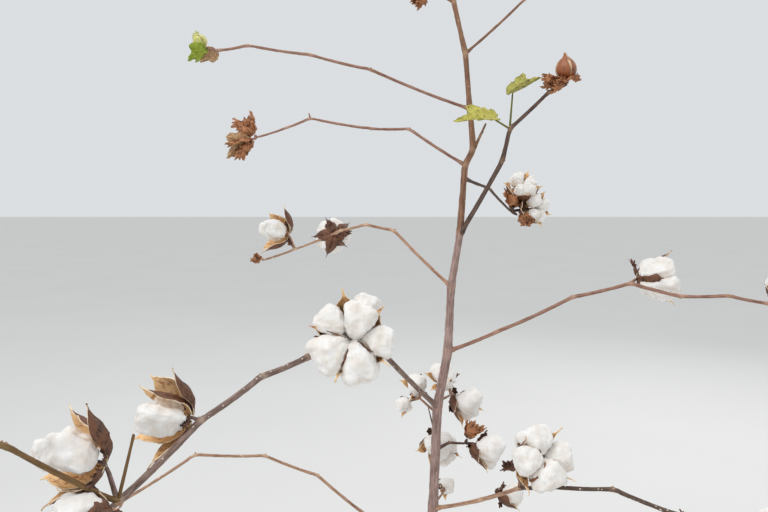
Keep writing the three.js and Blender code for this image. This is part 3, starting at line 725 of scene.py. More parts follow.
# Living skin on the last leaves' stalks: smooth and olive green, with a few pores
green_stalk = bark("olive_green_stalk", "#4f4a1e", "#8a8a3c", "#a8a060", 0.1, "#8f7a4a")
twig_parts = []
for one in limbs:
    start = one["marks"][one["bough"]] - SPRAY_STEP - 0.6 if one["bough"] else 0
    twig_parts.append(limb_stretch(one, "twig_" + one["name"], start, one["marks"][-1]))
    for item in one["carries"]:
        node = one["nodes"][item["at"]]
        way = heading(*item["reach"][1:])
        item["base"] = base = node + way * item["reach"][0]
        wide = PETIOLE_RADIUS if item["kind"] == "leaf" else PEDUNCLE_RADIUS
        points, radii = [node, base], [wide * STALK_SWELL, wide]
        if item["kind"] == "boll":
            points.append(base + heading(*item["faces"]) * STALK_REACH * item["size"])
            radii.append(wide * STALK_SWELL)
        long_spur = item["kind"] == "spur" and item["reach"][0] > LONG_SPUR
        if item["kind"] == "spur":
            points = [node, base - way * SPUR_END, base]
            radii = [wide, wide * SPUR_WAIST, wide if long_spur else SPUR_POINT_RADIUS]
        skin = BARK[one["bark"]]
        if item["kind"] == "leaf" and item["look"] != "dry":
            skin = green_stalk
        elif long_spur:
            skin = BARK["olive"]
        twig_parts.append(stalk(points, radii, skin))
twigs = join("twigs", twig_parts)
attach(twigs, "root")
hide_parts(*["spray_" + one["name"] for one in limbs])


# Leaf scars
# Where leaves and fruit have dropped, each node keeps a pale corky scar beside a dry bud.
# They are low flattened bumps of tan cork on the bark.
SCAR_RADIUS = 0.62
# How much smaller the bud is than the scar. Both are in parts of the limb's radius.
BUD_SMALLER = 0.2
# How far a scar tips up, and how far out from the limb's middle it lies, in parts of the limb's radius
SCAR_TIP = 0.25
SCAR_OUT = 0.85

# Crumbly cork: matt and pale, in crumbs 1.5 mm wide
cork, tree, shader = new_material("pale_scar_cork")
spot = add(tree, "ShaderNodeTexCoord").outputs["Object"]
crumb = add(tree, "ShaderNodeTexNoise", values={"Scale": 1 / (1.5 * MM), "Detail": 3}, links={"Vector": spot})
tone = add(tree, "ShaderNodeValToRGB", links={"Fac": crumb.outputs["Fac"]})
tone.color_ramp.elements[0].color = linear("#8e6a52")
tone.color_ramp.elements[0].position = 0.35
tone.color_ramp.elements[1].color = linear("#dcbfa2")
tone.color_ramp.elements[1].position = 0.65
bump = add(tree, "ShaderNodeBump", values={"Strength": 0.5, "Distance": 0.3 * MM},
           links={"Height": crumb.outputs["Fac"]})
tree.links.new(tone.outputs["Color"], shader.inputs["Base Color"])
tree.links.new(bump.outputs["Normal"], shader.inputs["Normal"])
shader.inputs["Roughness"].default_value = 0.85

bpy.ops.mesh.primitive_ico_sphere_add(subdivisions=2, radius=1, location=(0, 0, 0))
scar = bpy.context.object
scar.name = "scar"
bpy.ops.object.mode_set(mode="EDIT")
bpy.ops.transform.resize(value=(1, 0.8, 0.55))
bpy.ops.object.mode_set(mode="OBJECT")
scar.data.materials.append(cork)
bpy.ops.object.shade_smooth()
scars = []
for number, one in enumerate(limbs):
    chance = seeded(number + 201)
    for i in range(1, len(one["nodes"]) - 1):
        node = one["nodes"][i]
        before = (node - one["nodes"][i - 1]).normalized()
        after = (one["nodes"][i + 1] - node).normalized()
        radius = limb_radius(one, one["marks"][i])
        # The scar sits on the outside of the turn, tipped up
        outside = (before - after + Vector((0, 0, SCAR_TIP * vary(chance, 1)))).normalized()
        # The scar, and the bud a little way round the limb and beyond it
        for k in range(2):
            spin = Matrix.Rotation((k * 1.1 + chance()) * 1.2, 4, before)
            face = spin @ outside
            turn = Vector((0, 0, 1)).rotation_difference(face).to_matrix().to_4x4()
            size = radius * (SCAR_RADIUS - BUD_SMALLER * k) * vary(chance, 0.15)
            spot = node + face * radius * SCAR_OUT + before * (k * 2 - 0.5)
            scars.append(place(scar, Matrix.Translation(spot * MM) @ turn @ Matrix.Scale(size * MM, 4)))
bpy.data.objects.remove(scar)
leaf_scars = join("leaf_scars", scars)
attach(leaf_scars, "root")


# Lint
# Each open boll holds four to six locks of white cotton: soft, blocky tufts of fibre swollen round the seeds.
# A lock is widest outside, narrows to the boll's axis, and is held at its foot by the dry burr.

# The relief of the lint, as [depth, width, name, noise], in millimetres. The puffs' depth is negative,
# so that the cells of their noise stand out, with creases between them.
LINT_RELIEF = [
    [5, 13, "seed_lumps", "BLENDER_ORIGINAL"], [-3.2, 9, "puffs", "VORONOI_F1"],
    [1.2, 4.5, "tufts", "BLENDER_ORIGINAL"], [0.5, 1.6, "fluff", "BLENDER_ORIGINAL"],
]
# A boll this wide has the relief at its full depth, and a smaller one less of it
FULL_RELIEF_BOLL = 56
# Bolls from this width up have finer meshes
LARGE_BOLL = 50
# How many triangles one piece of lint may have
PIECE_LIMIT = 190000

# Raw cotton: matt warm white fibre that light sinks into, so that its shadows are soft. Its warmth is
# partly its own cream and partly painted warm light bounced from the ground. It has faint cream clouds
# 9 mm wide of painted warm shade, scattered at random.
lint_white, tree, shader = new_material("raw_cotton_lint")
spot = add(tree, "ShaderNodeTexCoord").outputs["Object"]
# Fibres lie in swirled strands about 1.6 mm wide, coarser than real ones so that they show
fibre = add(tree, "ShaderNodeTexNoise", links={"Vector": spot},
            values={"Scale": 1 / (1.6 * MM), "Detail": 7, "Roughness": 0.68, "Distortion": 2.2})
cloud = add(tree, "ShaderNodeTexNoise", values={"Scale": 1 / (9 * MM), "Detail": 3}, links={"Vector": spot})
tone = add(tree, "ShaderNodeValToRGB", links={"Fac": cloud.outputs["Fac"]})
# The cream clouds are painted warm shade, and the warm white between them is partly painted bounce light
tone.color_ramp.elements[0].color = linear("#ece3d9")
tone.color_ramp.elements[0].position = 0.3
tone.color_ramp.elements[1].color = linear("#fdfaf6")
tone.color_ramp.elements[1].position = 0.6
bump = add(tree, "ShaderNodeBump", values={"Strength": 0.6, "Distance": 0.9 * MM},
           links={"Height": fibre.outputs["Fac"]})
tree.links.new(tone.outputs["Color"], shader.inputs["Base Color"])
tree.links.new(bump.outputs["Normal"], shader.inputs["Normal"])
shader.inputs["Roughness"].default_value = 1
shader.inputs["Specular IOR Level"].default_value = 0.1
shader.inputs["Sheen Weight"].default_value = 0.25
shader.inputs["Sheen Roughness"].default_value = 0.6
shader.inputs["Subsurface Weight"].default_value = 0.25
shader.inputs["Subsurface Radius"].default_value = (1, 0.9, 0.85)
shader.inputs["Subsurface Scale"].default_value = 4 * MM


def shape(piece, picks, resize=(1, 1, 1), move=(0, 0, 0)):
    """In edit mode, scales about the origin and moves the points that picks(point) chooses."""
    bpy.context.view_layer.objects.active = piece
    bpy.ops.object.mode_set(mode="EDIT")
    bpy.ops.mesh.select_all(action="DESELECT")
    bpy.ops.object.mode_set(mode="OBJECT")
    for v in piece.data.vertices:
        v.select = picks(v)
    bpy.ops.object.mode_set(mode="EDIT")
    bpy.ops.transform.resize(value=resize, center_override=(0, 0, 0))
    bpy.ops.transform.translate(value=move)
    bpy.ops.object.mode_set(mode="OBJECT")


def lock_model(name, levels):
    """One lock, 1 by 1 by 1: X runs outward from the boll's axis and Z up it."""
    bpy.ops.object.select_all(action="DESELECT")
    bpy.ops.mesh.primitive_cube_add(size=1, location=(0, 0, 0))
    piece = bpy.context.object
    piece.name = name
    bpy.ops.object.mode_set(mode="EDIT")
    bpy.ops.mesh.subdivide(number_cuts=2)
    bpy.ops.object.mode_set(mode="OBJECT")
    # Narrow toward the boll's axis, and drawn in at its foot and its top
    shape(piece, lambda v: v.co.x < -0.4, (1, 0.35, 0.8))
    shape(piece, lambda v: -0.4 < v.co.x < 0, (1, 0.78, 0.97))
    shape(piece, lambda v: v.co.z < -0.4, (0.7, 0.7, 1), (-0.08, 0, 0))
    shape(piece, lambda v: v.co.z > 0.4, (0.84, 0.84, 1), (0.02, 0, 0))
    finish(piece, "CAST", factor=0.25, cast_type="SPHERE")
    finish(piece, "SUBSURF", levels=levels, render_levels=levels)
    # Brought back to a box 1 by 1 by 1
    low = [min(v.co[k] for v in piece.data.vertices) for k in range(3)]
    high = [max(v.co[k] for v in piece.data.vertices) for k in range(3)]
    bpy.ops.object.mode_set(mode="EDIT")
    bpy.ops.mesh.select_all(action="SELECT")
    bpy.ops.transform.translate(value=[-(a + b) / 2 for a, b in zip(low, high)])
    bpy.ops.transform.resize(value=[1 / (b - a) for a, b in zip(low, high)], center_override=(0, 0, 0))
    bpy.ops.object.mode_set(mode="OBJECT")
    piece.data.materials.append(lint_white)
    piece.vertex_groups.new(name="bulk").add(range(len(piece.data.vertices)), 1, "REPLACE")
    bpy.ops.object.shade_smooth()
    return piece


fine_lock = lock_model("fine_lock", 3)
plain_lock = lock_model("plain_lock", 2)


def boll_frame(base, direction, spin):
    """The boll's own axes: Z along the way that it opens, turned about it by spin, with its foot at base."""
    turn = Vector((0, 0, 1)).rotation_difference(direction).to_matrix() @ Matrix.Rotation(spin, 3, "Z")
    return Matrix.Translation(base * MM) @ turn.to_4x4() @ Matrix.Scale(MM, 4)


# The solids' rule also draws numbers for the outlines of leaves, husks and pods. They aren't needed here, but
# they are drawn, so that the bolls after them turn as the solids do.
OUTLINE_DRAWS = {"leaf": 8, "husk": 6, "pod": 6}
for number, one in enumerate(limbs):
    chance = seeded(number + 1)
    for item in one["carries"]:
        if item["kind"] in ("boll", "husk", "pod"):
            spin = chance() * 2 * math.pi
            aim = heading(*item["faces"]) if item["kind"] == "boll" else heading(*item["reach"][1:])
            item["frame"] = boll_frame(item["base"], aim, spin)
        if item["kind"] == "boll":
            item["swell"] = [vary(chance, 0.06) for _ in range(item["locks"])]
        for _ in range(OUTLINE_DRAWS.get(item["kind"], 0)):
            chance()

# Where the locks of a boll lie, in parts of its width: how far out and up their middles are, how many degrees
# they lean out, and how long, wide and tall they are
OPEN_LOCK = {"out": 0.25, "up": 0.46, "lean": 12, "size": (0.47, 0.44, 0.60)}
CUPPED_LOCK = {"out": 0.20, "up": 0.45, "lean": 4, "size": (0.42, 0.41, 0.68)}
# Bolls that differ from that: their locks as [angle from the top, out, up, length, width, height, lean]
# and their valves as [angle from the top, part of the usual width, how far bent out in degrees].
# Angles run counterclockwise for one who faces the boll.
PLACED_BOLLS = {
    "largest": {
        "locks": [
            [124, 0.285, 0.47, 0.47, 0.50, 0.54, 8], [51, 0.29, 0.44, 0.38, 0.36, 0.46, 8],
            [-21, 0.21, 0.52, 0.42, 0.41, 0.52, 2], [-97, 0.30, 0.46, 0.38, 0.39, 0.48, 10],
            [-166, 0.285, 0.46, 0.52, 0.46, 0.52, 10], [-23, 0.40, 0.24, 0.28, 0.34, 0.36, 20],
        ],
        "valves": [[11, 1.3, 0], [-46, 1.1, 0], [-127, 0.8, 0], [159, 1, 0], [74, 1.1, 0]],
    },
    "four_locked": {
        "locks": [
            [8, 0.25, 0.48, 0.44, 0.60, 0.52, 8], [90, 0.26, 0.46, 0.42, 0.46, 0.50, 10],
            [-178, 0.27, 0.48, 0.46, 0.56, 0.52, 8], [-100, 0.30, 0.44, 0.42, 0.50, 0.50, 12],
        ],
        "valves": [[50, 0.8, 0], [-44, 0.8, 0], [138, 0.8, 0], [-142, 0.8, 0]],
    },
    # Seen from its right side: one long lock there, with golden valves beyond it and dark ones on this side
    "right_side": {
        "locks": [
            [-66, 0.13, 0.46, 0.46, 0.46, 0.66, 0], [30, 0.16, 0.40, 0.30, 0.32, 0.50, 6],
            [130, 0.16, 0.36, 0.30, 0.32, 0.42, 6], [-84, 0.12, 0.66, 0.40, 0.38, 0.44, 0],
        ],
        "valves": [[-22, 0.5, 20], [31, 1.2, -2], [150, 1, -2], [186, 0.7, 6]],
    },
    # The same, with more valves bunched above its lock
    "bunched": {
        "locks": [
            [-108, 0.12, 0.48, 0.46, 0.42, 0.70, 0], [45, 0.10, 0.34, 0.28, 0.30, 0.46, 6],
            [140, 0.14, 0.36, 0.28, 0.32, 0.46, 6],
        ],
        "valves": [[48, 1.2, 10], [-16, 0.4, 4], [16, 1.1, -14], [150, 1, -2], [188, 0.7, 6]],
    },
    # Not yet fluffed out: its locks swell as one large lobe, with smaller ones below it
    "half_open": {
        "locks": [
            [20, 0.10, 0.52, 0.68, 0.72, 0.66, 0], [-150, 0.20, 0.44, 0.50, 0.56, 0.54, 6],
            [-80, 0.24, 0.42, 0.40, 0.42, 0.48, 8],
        ],
        "valves": [[92, 0.6, -3], [158, 0.5, -4], [-112, 0.4, -4]],
    },
    # Small and drying: one lobe
    "one_lobed": {
        "locks": [[0, 0.02, 0.52, 0.70, 0.66, 0.80, 0], [-160, 0.16, 0.38, 0.44, 0.46, 0.46, 4]],
        "valves": [[80, 0.5, -4], [168, 0.5, 2]],
    },
    # Broad golden valves show beside its locks
    "gold_sided": {
        "locks": [
            [22, 0.25, 0.47, 0.42, 0.42, 0.54, 8], [-72, 0.26, 0.46, 0.44, 0.46, 0.54, 8],
            [-158, 0.25, 0.46, 0.42, 0.44, 0.52, 8], [148, 0.22, 0.44, 0.36, 0.34, 0.46, 6],
        ],
        "valves": [[92, 1, 8], [-26, 0.7, 4], [-115, 0.7, 4], [185, 0.8, 8]],
    },
    # Seen from its left side, with a narrow valve pressed between its two nearest locks
    "left_side": {
        "locks": [
            [42, 0.19, 0.46, 0.46, 0.50, 0.70, 2], [138, 0.21, 0.48, 0.50, 0.54, 0.76, 2],
            [-130, 0.18, 0.42, 0.36, 0.36, 0.60, 4], [-50, 0.18, 0.42, 0.36, 0.36, 0.60, 4],
        ],
        "valves": [[88, 0.42, -4], [-4, 0.8, -8], [184, 0.8, -8], [-90, 1, 0]],
    },
}
# Bolls whose valves have bent wide open, while the others' are still cupped
OPEN_LOOKS = ("open", "largest", "four_locked")


def top_angle(item):
    """The angle, in the boll's own axes, that points to its top."""
    upward = item["frame"].to_3x3().inverted() @ Vector((0, 0, 1))
    return math.atan2(upward.y, upward.x)


def lock_places(item, whim):
    """The matrix of each lock of a boll in the boll's own axes, for a boll 1 wide."""
    places = []
    if item["look"] in PLACED_BOLLS:
        top = top_angle(item)
        for angle, out, up, length, width, height, lean in PLACED_BOLLS[item["look"]]["locks"]:
            places.append([top + math.radians(angle), out, up, (length, width, height), lean])
    else:
        form = OPEN_LOCK if item["look"] == "open" else CUPPED_LOCK
        count = item["locks"]
        length, width, height = form["size"]
        for i in range(count):
            angle = (i + 0.5 + 0.1 * (2 * whim() - 1)) / count * 2 * math.pi
            grow = item["swell"][i]
            size = (length * grow, width * 5 / count * grow * vary(whim, 0.08), height * vary(whim, 0.12))
            places.append([angle, form["out"] * vary(whim, 0.1), form["up"] * vary(whim, 0.08), size,
                           form["lean"] * vary(whim, 0.5)])
    return [
        Matrix.Rotation(angle, 4, "Z") @ Matrix.Translation((out, 0, up))
        @ Matrix.Rotation(math.radians(lean), 4, "Y") @ Matrix.Diagonal((*size, 1))
        for angle, out, up, size, lean in places
    ]


lint_parts = []
for number, one in enumerate(limbs):
    whim = seeded(number + 101)
    for item in one["carries"]:
        if item["kind"] != "boll":
            continue
        model = fine_lock if item["size"] >= LARGE_BOLL else plain_lock
        for matrix in lock_places(item, whim):
            part = place(model, item["frame"] @ Matrix.Scale(item["size"], 4) @ matrix)
            part.vertex_groups.new(name="bulk").add(
                range(len(part.data.vertices)), min(1, item["size"] / FULL_RELIEF_BOLL), "REPLACE")
            lint_parts.append(part)
for model in (fine_lock, plain_lock):
    bpy.data.objects.remove(model)

batches = [[]]
room = PIECE_LIMIT
for part in lint_parts:
    triangles = sum(len(face.vertices) - 2 for face in part.data.polygons)
    if triangles > room:
        batches.append([])
        room = PIECE_LIMIT
    room -= triangles
    batches[-1].append(part)
for number, batch in enumerate(batches):
    lint = join(f"lint_{number + 1}", batch)
    for depth, width, name, noise in LINT_RELIEF:
        relief(lint, depth, width, name, "bulk", noise)
    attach(lint, "root")
    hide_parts("boll_front_left", "boll_lower_right")


# Burrs
# The dry fruit wall has split into woody valves, as many as there are locks and each between two of them.
# Each is dark brown outside, lined with tan-gold parchment, edged in cream, and ends in a sharp curved spike.
BURR_WALL = 0.8 * MM
TYPICAL_BOLL = 50 * MM
# How many degrees a valve may bend further out or in than it should
VALVE_SPLAY = 10

# Rows of a valve from its root to its spike, in parts of the boll's width:
# [how far out, how far up, half its width, how far its edges turn in, how far its middle stands in]
OPEN_VALVE = [
    [0.04, 0.01, 0.06, 0.00, 0.02], [0.16, 0.02, 0.12, 0.03, 0.06], [0.27, 0.08, 0.17, 0.05, 0.08],
    [0.36, 0.17, 0.155, 0.06, 0.07], [0.42, 0.27, 0.115, 0.05, 0.05], [0.455, 0.37, 0.075, 0.035, 0.03],
    [0.475, 0.45, 0.04, 0.02, 0.015], [0.49, 0.51, 0.018, 0.005, 0.005], [0.515, 0.56, 0.011, 0, 0],
    [0.55, 0.60, 0.008, 0, 0], [0.60, 0.62, 0.003, 0, 0],
]
CUPPED_VALVE = [
    [0.04, 0.01, 0.06, 0.00, 0.02], [0.15, 0.02, 0.14, 0.03, 0.05], [0.28, 0.07, 0.22, 0.08, 0.07],
    [0.38, 0.15, 0.27, 0.13, 0.08], [0.45, 0.26, 0.28, 0.15, 0.07], [0.49, 0.37, 0.255, 0.13, 0.05],
    [0.51, 0.46, 0.19, 0.08, 0.03], [0.53, 0.53, 0.10, 0.03, 0.01], [0.56, 0.58, 0.025, 0, 0],
    [0.59, 0.62, 0.011, 0, 0], [0.635, 0.64, 0.003, 0, 0],
]
# The parting wall that stays on the middle of each valve, between two locks:
# the edge of it toward the boll's axis, as [how far out, how far up], from its foot to its end on the valve
PARTING_EDGE = [[0.04, 0.04], [0.03, 0.54], [0.12, 0.66], [0.24, 0.66], [0.36, 0.60], [0.455, 0.47]]


def papery(name, dark, light, stretch, grain_mm, roughness, bump_mm):
    """Dry plant skin: two shades of one colour in streaks along the piece, wrinkled along them."""
    material, tree, shader = new_material(name)
    grain = add(tree, "ShaderNodeAttribute", {"attribute_name": "grain"}).outputs["Vector"]
    drawn = add(tree, "ShaderNodeVectorMath", {"operation": "MULTIPLY"}, {1: stretch}, {0: grain})
    streak = add(tree, "ShaderNodeTexNoise", links={"Vector": drawn.outputs[0]},
                 values={"Scale": 1 / (grain_mm * MM), "Detail": 4, "Roughness": 0.65})
    # Blotches 7 mm wide, which differ from piece to piece
    spot = add(tree, "ShaderNodeTexCoord").outputs["Object"]
    blotch = add(tree, "ShaderNodeTexNoise", values={"Scale": 1 / (7 * MM), "Detail": 3},
                 links={"Vector": spot})
    blend = add(tree, "ShaderNodeMath", {"operation": "ADD"},
                links={0: streak.outputs["Fac"], 1: blotch.outputs["Fac"]})
    tone = add(tree, "ShaderNodeValToRGB", links={"Fac": blend.outputs[0]})
    tone.color_ramp.elements[0].position = 0.75
    tone.color_ramp.elements[0].color = linear(dark)
    tone.color_ramp.elements[1].position = 1
    tone.color_ramp.elements[1].color = linear(light)
    bump = add(tree, "ShaderNodeBump", values={"Strength": 0.7, "Distance": bump_mm * MM},
               links={"Height": streak.outputs["Fac"]})
    tree.links.new(tone.outputs["Color"], shader.inputs["Base Color"])
    tree.links.new(bump.outputs["Normal"], shader.inputs["Normal"])
    shader.inputs["Roughness"].default_value = roughness
    return material


# A burr is smooth golden parchment inside and wrinkled, nearly black-brown skin outside. Its edge is cream.
burr_lining = papery("tan_parchment_lining", "#a66633", "#f7cb92", (0.25, 1, 1), 2, 0.45, 0.3)
burr_skin = papery("dark_burr_skin", "#24160f", "#744b34", (0.2, 1, 1), 1.6, 0.6, 0.4)
burr_edge = papery("cream_burr_edge", "#c39a68", "#f8e6c8", (0.3, 1, 1), 2, 0.6, 0.2)


def blade(name, rows, columns, levels):
    """A thin hollow blade, drawn from a flat grid row by row, lined in parchment."""
    bpy.ops.object.select_all(action="DESELECT")
    steps = len(rows) - 1
    bpy.ops.mesh.primitive_grid_add(x_subdivisions=steps, y_subdivisions=columns, size=2, location=(0, 0, 0))
    piece = bpy.context.object
    piece.name = name
    spots = [(round((v.co.x + 1) / 2 * steps), round(abs(v.co.y) * columns / 2)) for v in piece.data.vertices]
    for i, (out, up, half, turned, ridge) in enumerate(rows):
        before, after = rows[max(0, i - 1)], rows[min(steps, i + 1)]
        way = Vector((after[0] - before[0], after[1] - before[1])).normalized()
        for k in range(columns // 2 + 1):
            share = k / (columns / 2)
            inward = turned * share**2 + (ridge if k == 0 else 0)
            shape(piece, lambda v: spots[v.index] == (i, k), (1, half, 1),
                  (out - way.y * inward - (i / steps * 2 - 1), 0, up + way.x * inward))
    if levels:
        finish(piece, "SUBSURF", levels=levels, render_levels=levels)
    record_grain(piece, [], TYPICAL_BOLL)
    piece.data.materials.clear()
    for finish_of_side in (burr_lining, burr_skin, burr_edge):
        piece.data.materials.append(finish_of_side)
    bpy.ops.object.shade_smooth()
    return piece


def add_wall(piece, thickness):
    """Gives the blades a wall, with their second finish on its outside and their third on its edge."""
    finish(piece, "SOLIDIFY", thickness=thickness, offset=-1, material_offset=1, material_offset_rim=2)


def parting_wall():
    """The wall between two locks: an upright sheet whose inner edge follows the list above."""
    bpy.ops.object.select_all(action="DESELECT")
    steps = len(PARTING_EDGE) - 1
    bpy.ops.mesh.primitive_grid_add(x_subdivisions=steps, y_subdivisions=2, size=2, location=(0, 0, 0))
    piece = bpy.context.object
    piece.name = "parting_wall"
    spots = [(round((v.co.x + 1) / 2 * steps), round(v.co.y + 1)) for v in piece.data.vertices]
    root = (0.30, 0.08)
    for i, (out, up) in enumerate(PARTING_EDGE):
        for k in range(3):
            # From the inner edge back to the valve
            share = k / 2 * (1 - i / steps * 0.7)
            spot = (out + (root[0] - out) * share, up + (root[1] - up) * share)
            shape(piece, lambda v: spots[v.index] == (i, k), (1, 0, 1),
                  (spot[0] - (i / steps * 2 - 1), 0.012 * (k == 0), spot[1]))
    finish(piece, "SUBSURF", levels=1, render_levels=1)
    record_grain(piece, [], TYPICAL_BOLL)
    piece.data.materials.append(parting_skin)
    bpy.ops.object.shade_smooth()
    return piece


# Dull brown skin without a grain, between the locks
parting_skin = papery("brown_parting_skin", "#432a1e", "#8a5a38", (1, 1, 1), 1.2, 0.6, 0.2)
# Small bolls have valves of fewer faces
valves = {(rows is OPEN_VALVE, levels): blade("valve", rows, 6, levels)
          for rows in (OPEN_VALVE, CUPPED_VALVE) for levels in (0, 1)}
wall_model = parting_wall()
burr_parts, wall_parts = [], []
for number, one in enumerate(limbs):
    whim = seeded(number + 301)
    for item in one["carries"]:
        if item["kind"] != "boll":
            continue
        wide_open = item["look"] in OPEN_LOOKS
        if item["look"] in PLACED_BOLLS:
            top = top_angle(item)
            turns = [[top + math.radians(angle), wide, out]
                     for angle, wide, out in PLACED_BOLLS[item["look"]]["valves"]]
        else:
            turns = [[i / item["locks"] * 2 * math.pi, 1, 0] for i in range(item["locks"])]
        for turn, wide, out in turns:
            splay = Matrix.Rotation(math.radians(out + VALVE_SPLAY * (2 * whim() - 1)), 4, "Y")
            stretch = Matrix.Diagonal((vary(whim, 0.05), wide * vary(whim, 0.14), vary(whim, 0.1), 1))
            axes = item["frame"] @ Matrix.Scale(item["size"], 4) @ Matrix.Rotation(turn, 4, "Z")
            valve = valves[wide_open, int(item["size"] >= LARGE_BOLL)]
            burr_parts.append(place(valve, axes @ splay @ stretch))
            if wide_open:
                wall_parts.append(place(wall_model, axes))
for model in (*valves.values(), wall_model):
    bpy.data.objects.remove(model)
burrs = join("burrs", burr_parts)
parting_walls = join("parting_walls", wall_parts)
for piece in (burrs, parting_walls):
    relief(piece, 2.4, 8, "burr_warp")
    relief(piece, 0.8, 2.5, "burr_wrinkles")
    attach(piece, "root")
add_wall(burrs, BURR_WALL)
finish(parting_walls, "SOLIDIFY", thickness=BURR_WALL, offset=0)
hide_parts("boll_front_left", "boll_lower_right")


# Bracts and husks
# Three heart-shaped bracts, deeply toothed round their top, hold each fruit. Dry, they shrivel and curl.
# Where a fruit was lost they close into a crumpled brown husk round what is left of it.
BRACT_TEETH = 9
BRACT_SLIT = 0.72
BRACT_WALL = 0.35 * MM
TYPICAL_BRACT = 25 * MM
# How many degrees a bract may twist one way or the other
BRACT_TWIST = 40
# How far the teeth reach, from the one at the bract's tip outward on one side and on the other
TEETH_REACH = {0: 1.12, 2: 0.88, 4: 1.05, 6: 0.82, 8: 0.95, -2: 1.02, -4: 0.8, -6: 1, -8: 0.72}

# Crumpled dead leaf: dull dark brown behind the bolls, lighter and redder as a husk, green round live buds
dry_bract = papery("shrivelled_bract", "#261712", "#745040", (1, 1, 1), 2, 0.75, 0.5)
husk_bract = papery("dried_husk_bract", "#4a2818", "#b87d54", (1, 1, 1), 2.2, 0.7, 0.5)
green_bract = papery("green_bract", "#8c8f3a", "#d0cf86", (1, 1, 1), 2.5, 0.6, 0.4)


def bract_model(name, fill):
    """A toothed fan, 1 long and 1 wide: its foot at the origin, its teeth along Z and its face toward +X."""
    bpy.ops.object.select_all(action="DESELECT")
    rim = 2 * BRACT_TEETH + 6
    bpy.ops.mesh.primitive_circle_add(vertices=rim, radius=0.5, fill_type="TRIFAN",
                                      rotation=(0, math.pi / 2, 0))
    piece = bpy.context.object
    piece.name = name
    bpy.ops.object.transform_apply(location=True, rotation=True, scale=True)
    # The vertices round the foot stay on the circle, and every other one round the top is drawn in as a slit
    order = {v.index: round(math.atan2(v.co.y, v.co.z) / (2 * math.pi) * rim) for v in piece.data.vertices}
    outer = [v.index for v in piece.data.vertices if v.co.length > 0.4]
    slits = [i for i in outer if abs(order[i]) <= BRACT_TEETH - 1 and order[i] % 2]
    shape(piece, lambda v: v.index in slits, (1, BRACT_SLIT, BRACT_SLIT))
    for tooth, reach in TEETH_REACH.items():
        shape(piece, lambda v: v.index in outer and order[v.index] == tooth, (1, reach, reach))
    shape(piece, lambda v: v.co.z < -0.4, (1, 0.3, 1))
    shape(piece, lambda v: True, (1, 1, 1), (0, 0, 0.5))
    bpy.ops.object.mode_set(mode="EDIT")
    bpy.ops.mesh.select_all(action="SELECT")
    bpy.ops.mesh.subdivide(number_cuts=2)
    bpy.ops.object.mode_set(mode="OBJECT")
    # Cupped toward +X: the further from the middle line and from the foot, the further forward
    for share in (0.1, 0.2, 0.3, 0.4):
        shape(piece, lambda v: abs(v.co.y) > share, move=(0.07, 0, 0))
    for share in (0.45, 0.6, 0.75, 0.9):
        shape(piece, lambda v: v.co.z > share, move=(0.08, 0, -0.03))
    record_grain(piece, [], TYPICAL_BRACT)
    piece.data.materials.append(fill)
    bpy.ops.object.shade_smooth()
    return piece


bracts = {"dry": bract_model("dry_bract", dry_bract), "husk": bract_model("husk_bract", husk_bract),
          "green": bract_model("green_bract", green_bract)}
# Of each kind of fruit: [bract, how many, how many degrees they open, give or take how many, length, width,
# how far from its axis they start]. The last three are in parts of the fruit's width.
BRACT_KINDS = {
    "boll": ["dry", 3, 96, 26, 0.42, 0.20, 0.07],
    "husk": ["husk", 6, 28, 24, 0.84, 0.6, 0.04],
    "green": ["green", 3, 20, 10, 1.3, 0.8, 0.1],
    "brown": ["husk", 5, 118, 6, 0.85, 0.8, 0.05],
}
bract_parts = []
for number, one in enumerate(limbs):
    whim = seeded(number + 401)
    for item in one["carries"]:
        if item["kind"] not in ("boll", "husk", "pod"):
            continue
        kind = item["look"] if item["kind"] == "pod" else item["kind"]
        model, count, opening, spread, length, width, foot = BRACT_KINDS[kind]
        for i in range(count):
            # Three bracts go round the fruit, and any more lie over those
            turn = (i + 0.3 * (2 * whim() - 1)) / 3 * 2 * math.pi
            twist = Matrix.Rotation(math.radians(BRACT_TWIST * (2 * whim() - 1)), 4, "Z")
            lean = math.radians(opening + spread * (2 * whim() - 1))
            size = (length * 0.8, width * vary(whim, 0.3), length * vary(whim, 0.25), 1)
            matrix = (Matrix.Rotation(turn, 4, "Z") @ Matrix.Translation((foot, 0, 0.02))
                      @ Matrix.Rotation(lean, 4, "Y") @ twist @ Matrix.Rotation(math.pi, 4, "Z")
                      @ Matrix.Diagonal(size))
            bract_parts.append(place(bracts[model], item["frame"] @ Matrix.Scale(item["size"], 4) @ matrix))
for model in bracts.values():
    bpy.data.objects.remove(model)
dried_bracts = join("dried_bracts", bract_parts)
relief(dried_bracts, 7, 9, "bract_curl")
relief(dried_bracts, 4, 3.5, "bract_crumple")
finish(dried_bracts, "SOLIDIFY", thickness=BRACT_WALL, offset=0)
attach(dried_bracts, "root")


# Unopened fruit
# Near the tips hang fruits that stay shut: one coppery and just split along its seams, and small green buds.
# Each is shaped like an egg, of valves that meet in seams and end in one point.
SHUT_VALVE = [
    [0.04, 0.00, 0.05, 0.01, 0], [0.27, 0.05, 0.22, 0.06, 0], [0.43, 0.20, 0.31, 0.10, 0],
    [0.50, 0.42, 0.34, 0.12, 0], [0.47, 0.64, 0.30, 0.11, 0], [0.35, 0.84, 0.20, 0.08, 0],
    [0.19, 0.98, 0.10, 0.04, 0], [0.07, 1.06, 0.04, 0.01, 0], [0.03, 1.24, 0.008, 0, 0],
]
VALVES_PER_FRUIT = 4
# Thickness of a valve, in parts of the fruit's width
SHUT_WALL = 0.03
TYPICAL_BUD = 20 * MM

# A ripe shut boll is leathery and shines like dull copper, and a bud is smooth and pale green
copper_skin = papery("coppery_shut_boll", "#35170d", "#9f5f3a", (0.3, 1, 1), 1.8, 0.25, 0.4)
green_skin = papery("green_bud_skin", "#a3a344", "#d8d786", (0.3, 1, 1), 1.5, 0.5, 0.2)


